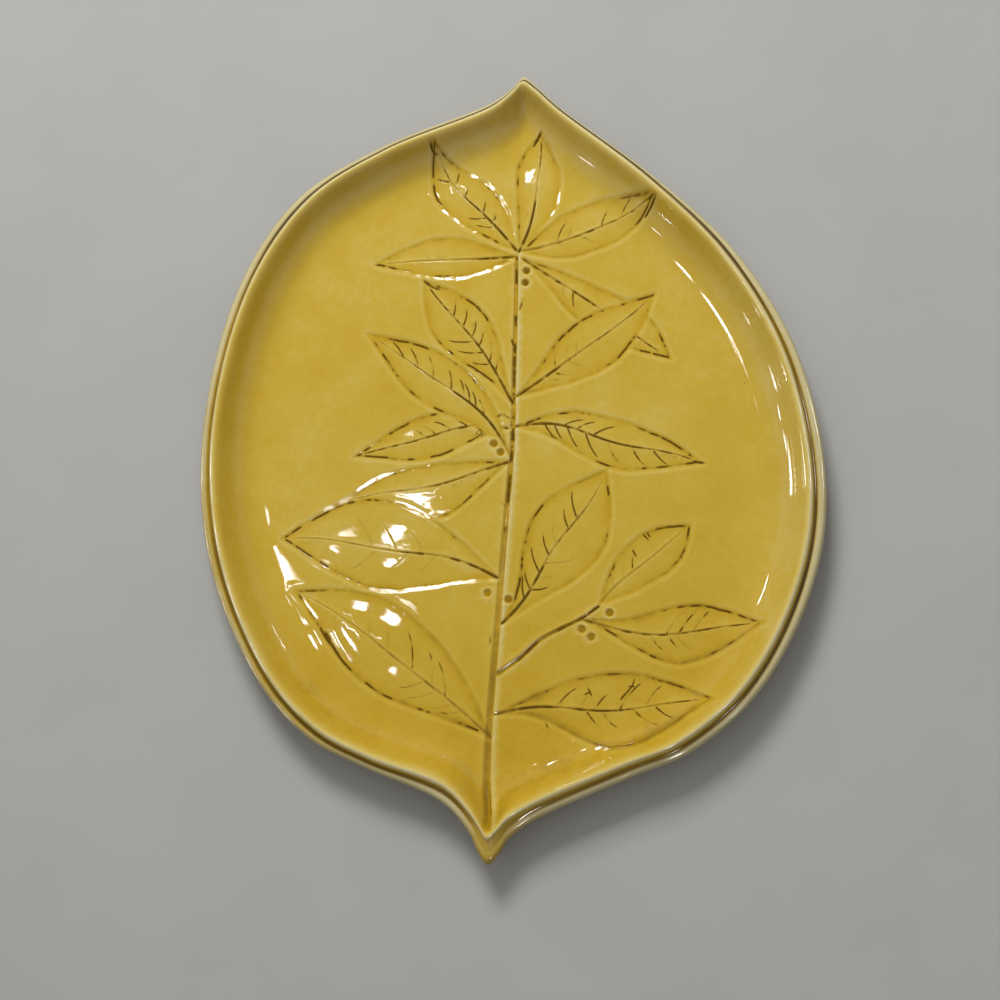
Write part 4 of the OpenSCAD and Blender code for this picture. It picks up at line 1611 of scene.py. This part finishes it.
@dataclass
class RimBand:
    """The strip of clay laid round the outside of the dish.

    Its runs of glaze lie at shares of its width, counted outwards. The spans from the middle of
    the plate are in millimetres, and each phase sets where a hand-made wave has its hills.
    """

    form: PlateForm
    thin: float = 0.06
    thin_phase: float = 2.1
    slump: float = 0.3
    slump_phase: float = 4.4
    soft_span: Pair = (0.15, 0.6)
    body_glaze: float = 0.36
    crest_run: GlazeRun = GlazeRun(-0.22, 0.5, 0.3)
    seam_run: GlazeRun = GlazeRun(0.4, 0.1, 0.14)
    wave_glaze: float = 0.1
    wave_phase: float = 6.0
    # Amber towards the stalk's end, held paler as painted light on the south-facing tip.
    stalk_amber_and_lit: float = 0.36
    stalk_span: Pair = (150.0, 170.0)
    west_glaze: float = 0.3
    west_span: Pair = (20.0, 90.0)
    south_span: Pair = (-60.0, 60.0)
    outer_span: Pair = (0.7, 1.0)

    def glaze_at(self, share: float, level: float, ring: Array) -> Array:
        """Glaze thickness along one ring of the section.

        Args:
            share: how far out across the band the ring lies.
            level: its height before the clay slumped.
            ring: plan places of its points.

        Returns:
            The thickness at each point.
        """
        form = self.form
        crest = self.crest_run.at(share) * smooth_step(level, form.band_low_z, form.band_top_z)
        # Painted light: the band's amber at the stalk's end is held paler, as if the tip were lit.
        stalk = self.stalk_amber_and_lit * smooth_step(-ring[:, 1], *self.stalk_span)
        west = smooth_step(-ring[:, 0], *self.west_span) * smooth_step(-ring[:, 1], *self.south_span)
        west *= self.west_glaze * (1 - smooth_step(share, *self.outer_span))
        waves = self.wave_glaze * (0.5 - form.wave(self.wave_phase))
        return self.body_glaze + crest + self.seam_run.at(share) + waves + stalk + west

    def build(self) -> None:
        """Loft the band's rounded section round the plate."""
        form, draft = self.form, MeshDraft()
        rise = form.band_top_z - form.band_low_z
        outer = np.array(BAND_SECTION_SHARES) * (1, rise) + (0, form.band_low_z)
        rows = [(0.0, form.band_low_z), (0.0, form.seam_z), *spline_chain(outer, SECTION_STEPS)]
        starts = []
        for share, level in rows:
            weight = smooth_step(share, *self.soft_span)
            reach = share * (1 - self.thin * weight * form.wave(self.thin_phase))
            ring = form.ring_out(reach)
            above = (level - form.band_low_z) / rise
            height = level - self.slump * weight * above * form.wave(self.slump_phase)
            starts.append(draft.add(at_level(ring, height), self.glaze_at(share, level, ring)))
        draft.loft(starts, len(form.edge))
        draft.piece("rim_band_dressed", BAND_GLAZE, "pale_glaze", ["rim_band"])


@dataclass
class SeamBead:
    """The dark bead of glaze that pooled in the seam between the lip and the band.

    It reaches up the lip to an inset and over the band to a share of its width. Values called
    stalk, north and east show where the spans, in millimetres from the middle, say.
    """

    form: PlateForm
    lip_inset: float = 0.42
    stalk_inset: float = 1.0
    north_inset: float = 0.35
    band_share: float = 0.2
    stalk_share: float = 0.34
    north_share: float = 0.2
    band_level_share: float = 0.62
    sag: float = 0.25
    root_depth: float = 0.3
    root_glaze: float = 0.6
    rings: int = 7
    bead_glaze: float = 0.2
    north_glaze: float = 0.4
    east_glaze: float = 0.15
    wave_glaze: float = 0.4
    wave_phase: float = 1.3
    middle_glaze: float = 0.4
    # At the stalk's end the bead is clear amber, made paler still as painted light on the tip.
    stalk_clear_and_lit: float = 0.95
    stalk_span: Pair = (148.0, 166.0)
    north_span: Pair = (50.0, 110.0)
    east_span: Pair = (60.0, 110.0)

    def build(self) -> None:
        """Loft a shallow hollow strip between the lip and the band, brim full at the stalk's end."""
        form, draft = self.form, MeshDraft()
        around = len(form.edge)
        x, y = form.edge.T
        stalk = smooth_step(-y, *self.stalk_span)
        north = smooth_step(y, *self.north_span)
        east = smooth_step(x, *self.east_span)
        insets = self.lip_inset + (self.stalk_inset - self.lip_inset) * stalk + self.north_inset * north
        lip_z = form.rim_z(insets, np.arange(around))
        lip = at_level(form.edge + form.facing * insets[:, None], lip_z)
        depth = form.band_top_z - form.seam_z
        reach = self.band_share + (self.stalk_share - self.band_share) * stalk + self.north_share * north
        band_z = form.seam_z + (self.band_level_share + (1 - self.band_level_share) * stalk) * depth
        band = at_level(form.ring_out(reach), band_z)
        starts = [draft.add(at_level(form.edge, form.seam_z - self.root_depth), self.root_glaze)]
        pooled = self.bead_glaze + self.north_glaze * north + self.east_glaze * east
        pooled += self.wave_glaze * (form.wave(self.wave_phase) - 0.5)
        for share in np.linspace(0, 1, self.rings):
            middle = math.sin(math.pi * share)
            ring = lip * (1 - share) + band * share
            ring[:, 2] -= self.sag * middle * (1 - stalk)
            # Near the stalk the bead thins to its palest amber: partly clear glaze, partly painted light on
            # the south-facing tip.
            glaze = (pooled + self.middle_glaze * middle) * (1 - self.stalk_clear_and_lit * stalk)
            starts.append(draft.add(ring, np.clip(glaze, 0, 1)))
        draft.loft(starts, around)
        draft.piece("seam_glaze_dressed", POOLED_GLAZE, "pooled_glaze", ["seam_glaze"])


@dataclass
class FootRing:
    """The coil of bare clay that the plate stands on."""

    form: PlateForm
    share: float = 0.78
    width: float = 8.0

    def build(self) -> None:
        """Loft the coil's rounded section along the floor's outline drawn smaller."""
        form, draft = self.form, MeshDraft()
        outer = form.ring_in(form.lip_w + form.wall_run) * self.share
        inner = outer + form.inward(outer) * self.width
        starts = []
        for across, rise in FOOT_SECTION_SHARES:
            ring = outer + (inner - outer) * across
            starts.append(draft.add(at_level(ring, rise * form.foot_h)))
        draft.loft(starts, len(outer))
        draft.piece("foot_ring_dressed", BARE_CLAY, "bare_clay", ["foot_ring"])


@dataclass
class StainInlays:
    """The iron stain left in the print's lines: one piece for each part of the sprig."""

    dish: DishSlab
    thickness: float = 0.35
    hidden: float = 0.12
    rim: float = 0.15
    width_share: float = 0.68
    hollow_share: float = 0.1
    end_share: float = 0.3
    end_drop_share: float = 0.5
    dark_span: Pair = (0.3, 0.95)
    edge_gap: float = 1.0
    crease: float = 40.0
    glaze: float = 0.6
    berry_sides: int = 18
    berry_width_share: float = 0.85
    berry_fill_share: float = 0.3
    berry_hollow: float = 0.06
    berry_thickness: float = 0.3

    def build(self) -> None:
        """Make the stain of the stem, the twig, the berries and each leaf."""
        sprig = self.dish.sprig
        self.lines_piece("stem_inlay", sprig.stem_lines)
        self.lines_piece("twig_inlay", sprig.twig_lines)
        self.berry_piece()
        for number in range(1, len(LEAVES) + 1):
            self.lines_piece(f"leaf_inlay_{number:02d}", sprig.leaf_lines[number])

    def lines_piece(self, node: str, lines: Sequence[PrintLine]) -> None:
        """Make one piece of thin closed strips that lie in the lines' grooves.

        Args:
            node: CAD node that it stands for.
            lines: its lines.
        """
        draft = MeshDraft(crease=self.crease)
        floor = self.dish.form.ring_in(self.dish.join_inset + self.edge_gap)
        for line in lines:
            for part in line.kept(inside(line.path, floor)):
                self.add_strip(draft, part)
        draft.piece(f"{node}_dressed", STAIN, "iron_stain", [node])

    def add_strip(self, draft: MeshDraft, line: PrintLine) -> None:
        """Add one strip, which fills its groove as high as its level of stain.

        Args:
            draft: takes the strip.
            line: the line that it lies in.
        """
        groove = line.kind.value
        level, _, _ = self.dish.surface(line.path)
        dark = smooth_step(line.stain, *self.dark_span)
        top = level + groove.depth * groove.fill * dark - self.hidden * (1 - dark)
        reach = groove.half_width * line.width * self.width_share
        reach[[0, -1]] *= self.end_share
        top[[0, -1]] -= self.end_drop_share * groove.depth
        aside = left_of(line.path) * reach[:, None]
        rows = (
            (at_level(line.path + aside, top), self.rim),
            (at_level(line.path, top - self.hollow_share * groove.depth), 0),
            (at_level(line.path - aside, top), self.rim),
            (at_level(line.path, top - self.thickness), 0),
        )
        starts = [draft.add(row, self.glaze, line.stain + darker) for row, darker in rows]
        for low, high in zip(starts, starts[1:] + starts[:1], strict=True):
            for k in range(len(line.path) - 1):
                draft.faces.append((low + k, low + k + 1, high + k + 1, high + k))
        for end in (0, len(line.path) - 1):
            draft.faces.append(tuple(start + end for start in starts))

    def berry_piece(self) -> None:
        """Make the stain of the berries: a small lens in each pit."""
        draft = MeshDraft(crease=self.crease)
        sprig = self.dish.sprig
        circle = unit_circle(self.berry_sides)
        bottoms, _, _ = self.dish.surface(sprig.berries[:, :2])
        for berry, bottom in zip(sprig.berries, bottoms, strict=True):
            top = bottom + self.berry_fill_share * sprig.berry_depth
            ring = at_level(berry[:2] + circle * self.berry_width_share * sprig.berry_r, top)
            levels = (top - self.berry_hollow, bottom - self.berry_thickness)
            centre = np.array([[*berry[:2], level] for level in levels])
            first = draft.add(ring, self.glaze, berry[2])
            middle = draft.add(centre, self.glaze, berry[2])
            for k in range(self.berry_sides):
                after = first + (k + 1) % self.berry_sides
                draft.faces += [(first + k, after, middle), (after, first + k, middle + 1)]
        draft.piece("berry_inlays_dressed", STAIN, "iron_stain", ["berry_inlays"])


@dataclass(frozen=True)
class Glint:
    """A small gridded lamp seen in the glaze: the pixel where the dish mirrors it.

    Its width and height, how far from that spot its beam reaches, and how far round the spot a
    steeper place is looked for, are in millimetres.
    """

    pixel: Pair
    width: float
    height: float
    reach: float
    search: float = 0.0
    distance: float = 300.0
    radiance: float = 50.0


@dataclass
class Studio:
    """Camera, lamps and floor.

    Lengths are in millimetres, angles in degrees and powers in watts. Pixels are places in the
    photograph, counted from its upper left corner, where the glaze shows a white reflection.
    """

    dish: DishSlab
    image_px: float = 1000.0
    lens: float = 60.0
    sensor: float = 36.0
    elevation: float = 76.0
    azimuth: float = 30.0
    lean: float = 2.76
    distance: float = 720.0
    target: Triple = (0.82, -10.4, 20.0)
    target_px: Pair = (507.0, 473.5)
    fill: str = "#8C8C8C"
    room: tuple[tuple[float, str], ...] = (
        (0.0, "#8E8E8E"), (0.14, "#A4A4A4"), (0.36, "#DEDEDE"), (0.6, "#B8B8B8"), (0.85, "#8C8C8C"),
    )
    edge_pixels: tuple[Pair, ...] = (
        (350, 496), (362, 487), (374, 481), (386, 476), (398, 471), (425, 589), (440, 588),
        (455, 587), (580, 744), (308, 556), (320, 564), (332, 573), (346, 582), (360, 587), (379, 589),
        (482, 181), (490, 187), (497, 196), (503, 208), (557, 193), (555, 203), (550, 215), (440, 276),
        (455, 276), (470, 275), (485, 272), (592, 745), (436, 349), (447, 355), (468, 372),
        (478, 383), (486, 394), (440, 206), (446, 217),
    )
    glints: tuple[Glint, ...] = (
        Glint((283, 566), 44, 7, 18), Glint((267, 512), 20, 5, 9, radiance=25),
        Glint((403, 497), 20, 12, 10), Glint((428, 506), 12, 10, 7),
        Glint((402, 528), 26, 8, 11), Glint((334, 549), 9, 5, 5),
        Glint((401, 549), 26, 5, 11), Glint((398, 560), 14, 4, 6), Glint((366, 607), 18, 8, 8),
        Glint((391, 622), 18, 9, 8), Glint((349, 638), 12, 14, 8), Glint((392, 672), 4, 3, 3),
        Glint((293, 597), 6, 6, 3), Glint((304, 622), 20, 6, 8), Glint((315, 644), 26, 10, 9),
        Glint((449, 193), 16, 16, 8), Glint((460, 187), 14, 12, 7), Glint((531, 174), 6, 7, 4),
        Glint((521, 126), 8, 8, 4), Glint((586, 161), 12, 8, 4), Glint((666, 218), 12, 6, 5),
        Glint((654, 229), 6, 6, 4), Glint((720, 318), 54, 54, 17),
        Glint((731, 341), 16, 16, 6, radiance=20), Glint((746, 370), 24, 24, 10, radiance=8),
        Glint((779, 412), 14, 14, 6), Glint((785, 440), 14, 14, 6),
        Glint((537, 764), 12, 8, 5), Glint((583, 738), 20, 6, 5), Glint((445, 757), 8, 6, 4),
        Glint((473, 772), 8, 8, 4), Glint((274, 627), 9, 9, 4), Glint((283, 643), 9, 8, 4),
        Glint((509, 538), 40, 40, 12, search=0.7), Glint((508, 556), 40, 40, 12, search=0.7),
        Glint((503, 612), 40, 40, 8, search=0.7), Glint((499, 664), 40, 40, 8, search=0.7),
        Glint((412, 437), 4, 3, 3), Glint((608, 199), 12, 7, 7), Glint((631, 214), 14, 9, 9),
        Glint((762, 594), 14, 14, 6),
    )
    edge_lamp: Glint = Glint((0, 0), 34, 34, 13, search=2.2)
    lip_shares: tuple[float, ...] = (0.05, 0.08, 0.11, 0.25, 0.28, 0.76, 0.79, 0.82, 0.85, 0.88)
    lip_inset: float = 2.2
    lip_lamp: Glint = Glint((0, 0), 110, 70, 28, radiance=32)
    key_place: Triple = (-260.0, 920.0, 1150.0)
    key_size: Pair = (500.0, 500.0)
    key_power: float = 16.0
    sky_place: Triple = (-200.0, 300.0, 2000.0)
    sky_size: Pair = (2600.0, 2600.0)
    sky_power: float = 10.0
    ray_passes: int = 8
    ray_drop: float = 0.7
    search_step: float = 1.0
    mirror_step: float = 0.4

    def axes(self) -> tuple[Vector, Vector, Vector]:
        """The camera's right, up and backward directions.

        Returns:
            Three unit vectors.
        """
        e, a, lean = (math.radians(v) for v in (self.elevation, self.azimuth, self.lean))
        back = Vector((math.cos(e) * math.sin(a), -math.cos(e) * math.cos(a), math.sin(e)))
        level_up = Vector((0, 1, 0)) - back * back.y
        level_up.normalize()
        level_right = level_up.cross(back)
        up = level_up * math.cos(lean) - level_right * math.sin(lean)
        return up.cross(back), up, back

    def eye(self) -> Vector:
        """Where the camera stands, so that the target falls on its pixel.

        Returns:
            The place in millimetres.
        """
        right, up, back = self.axes()
        px = self.distance * self.sensor / self.lens / self.image_px
        aside = (self.image_px / 2 - self.target_px[0]) * px
        above = (self.target_px[1] - self.image_px / 2) * px
        return Vector(self.target) + back * self.distance + right * aside + up * above

    def add_camera(self) -> None:
        """Make the camera at the photograph's viewing angle."""
        right, up, back = self.axes()
        data = bpy.data.cameras.new("camera")
        data.lens, data.sensor_width = self.lens, self.sensor
        camera = bpy.data.objects.new("camera", data)
        turn = Matrix((right, up, back)).transposed().to_4x4()
        camera.matrix_world = Matrix.Translation(self.eye() * MM) @ turn
        bpy.context.scene.collection.objects.link(camera)
        bpy.context.scene.camera = camera

    def add_lamp(self, name: str, place: Vector, aim: Vector, size: Pair, power: float) -> bpy.types.Object:
        """Add an area lamp.

        Args:
            name: its name.
            place: where it stands.
            aim: the place that it faces.
            size: its width and height.
            power: its power.

        Returns:
            The lamp.
        """
        data = bpy.data.lights.new(name, "AREA")
        data.shape, data.energy = "RECTANGLE", power
        data.size, data.size_y = size[0] * MM, size[1] * MM
        lamp = bpy.data.objects.new(name, data)
        lamp.location = place * MM
        lamp.rotation_mode = "QUATERNION"
        lamp.rotation_quaternion = (aim - place).to_track_quat("-Z", "Y")
        bpy.context.scene.collection.objects.link(lamp)
        return lamp

    def lip_glints(self) -> list[Glint]:
        """Broad lamps that each draw a thin bright line along the outside of the lip.

        Returns:
            One lamp for each share of the way round.
        """
        right, up, back = self.axes()
        focal = self.lens / self.sensor * self.image_px
        ring = self.dish.form.lip_ring(self.lip_inset)
        made = []
        for share in self.lip_shares:
            off = Vector(ring[int(share * len(ring))]) - self.eye()
            scale = focal / -off.dot(back)
            pixel = (self.image_px / 2 + scale * off.dot(right), self.image_px / 2 - scale * off.dot(up))
            made.append(replace(self.lip_lamp, pixel=pixel))
        return made

    def edge_glints(self) -> list[Glint]:
        """Lamps that each draw a bright stroke along the step at a leaf's edge."""
        return [replace(self.edge_lamp, pixel=pixel) for pixel in self.edge_pixels]

    def smooth_facing(self, points: Array, step: float) -> Array:
        """The way the dish faces at each point, taken over a step that has the point in its middle."""
        start = points - step / 2
        return self.dish.facing(start, self.dish.surface(start)[0], step)

    def steepest(self, spots: Array, search: Array, steps: int = 11) -> Array:
        """Plan places of the steepest spots of the dish near some others.

        Args:
            spots: plan places to look round.
            search: how far round each one to look.
            steps: places looked at each way.

        Returns:
            One place for each spot.
        """
        shift = np.linspace(-1, 1, steps)
        around = np.stack(np.meshgrid(shift, shift), axis=-1).reshape(-1, 2)
        near = (spots[:, None] + search[:, None, None] * around).reshape(-1, 2)
        facing = self.smooth_facing(near, self.search_step)
        best = facing[:, 2].reshape(len(spots), -1).argmin(1)
        return near.reshape(len(spots), -1, 2)[np.arange(len(spots)), best]

    def add_glints(self, glints: Sequence[Glint]) -> None:
        """Place each gridded lamp where the dish mirrors it to the camera at the glint's pixel.

        Args:
            glints: the lamps.
        """
        axes, eye = np.array(self.axes()), np.array(self.eye())
        focal = self.lens / self.sensor * self.image_px
        pixels = np.array([glint.pixel for glint in glints]) - self.image_px / 2
        rays = np.column_stack([pixels[:, 0], -pixels[:, 1], np.full(len(glints), -focal)]) @ axes
        level = np.full(len(glints), self.dish.form.plate_h - self.ray_drop)
        for _ in range(self.ray_passes):
            spots = eye + rays * ((level - eye[2]) / rays[:, 2])[:, None]
            level = (level + self.dish.surface(spots[:, :2])[0]) / 2
        spots[:, :2] = self.steepest(spots[:, :2], np.array([glint.search for glint in glints]))
        facing = self.smooth_facing(spots[:, :2], self.mirror_step)
        rays /= np.linalg.norm(rays, axis=1)[:, None]
        ahead = rays - 2 * (rays * facing).sum(1)[:, None] * facing
        for number, (glint, spot, way) in enumerate(zip(glints, spots, ahead, strict=True)):
            half = math.atan(glint.reach / glint.distance)
            size = (glint.width, glint.height)
            area = size[0] * size[1] * MM * MM
            power = 4 * area * glint.radiance * (1 - half / math.tan(half))
            place = Vector(spot + way * glint.distance)
            lamp = self.add_lamp(f"glint_{number}", place, Vector(spot), size, power)
            lamp.data.spread = 2 * half
            lamp.visible_diffuse = False
            lamp.visible_camera = False

    def add_world(self) -> None:
        """Dim soft world, which the camera and the gloss see paler towards the horizon."""
        world = bpy.data.worlds.new("soft studio")
        world.use_nodes = True
        tree = world.node_tree
        tree.nodes.clear()
        where = add_node(tree, "ShaderNodeTexCoord")
        axes = add_node(tree, "ShaderNodeSeparateXYZ", inputs={0: where.outputs["Generated"]})
        pale = add_node(tree, "ShaderNodeValToRGB", {"stops": self.room}, {"Fac": axes.outputs["Z"]})
        ray = add_node(tree, "ShaderNodeLightPath")
        seen = add_node(tree, "ShaderNodeMath", {"operation": "MAXIMUM"}, {
            0: ray.outputs["Is Camera Ray"], 1: ray.outputs["Is Glossy Ray"],
        })
        colour = add_node(tree, "ShaderNodeMix", {"data_type": "RGBA"}, {
            0: seen.outputs[0], 6: linear(self.fill), 7: pale.outputs[0],
        })
        light = add_node(tree, "ShaderNodeBackground", inputs={"Color": colour.outputs[2], "Strength": 1.0})
        add_node(tree, "ShaderNodeOutputWorld", inputs={"Surface": light.outputs[0]})
        bpy.context.scene.world = world

    def add_lights(self) -> None:
        """Add the soft world, a key softbox from the top of the picture, a soft sky and the glints."""
        self.add_world()
        for name, place, size, power in (
            ("key", self.key_place, self.key_size, self.key_power),
            ("sky", self.sky_place, self.sky_size, self.sky_power),
        ):
            lamp = self.add_lamp(name, Vector(place), Vector((0, 0, 0)), size, power)
            lamp.visible_glossy = False
        self.add_glints([*self.glints, *self.edge_glints(), *self.lip_glints()])

    def add_floor(self, radius: float = 5000.0, sides: int = 96) -> None:
        """Add the pale floor that the plate stands on.

        Args:
            radius: how far it reaches.
            sides: corners round it.
        """
        corners = at_level(radius * MM * unit_circle(sides), 0.0).tolist()
        mesh = bpy.data.meshes.new("studio_floor")
        mesh.from_pydata(corners, [], [tuple(range(sides))])
        mesh.materials.append(FLOOR.material())
        floor = bpy.data.objects.new("studio_floor", mesh)
        bpy.context.scene.collection.objects.link(floor)

    def build(self) -> None:
        """Set up the view, the lamps and the floor."""
        bpy.context.scene.view_settings.view_transform = "Standard"
        self.add_camera()
        self.add_lights()
        self.add_floor()
        glints = len(self.glints) + len(self.edge_pixels) + len(self.lip_shares)
        LOG.info("studio: camera, key, sky, %d glints and floor", glints)


def main() -> None:
    """Build the plate's pieces in order, then the studio, and note the sizes."""
    logging.basicConfig(level=logging.INFO, format="%(message)s")
    form = PlateForm.from_frame()
    sprig = Sprig(form)
    dish = DishSlab(form, sprig)
    builders: tuple[Callable[[], None], ...] = (
        dish.build,
        RimBand(form).build,
        SeamBead(form).build,
        FootRing(form).build,
        StainInlays(dish).build,
        Studio(dish).build,
    )
    for build in builders:
        build()


if __name__ == "__main__":
    main()
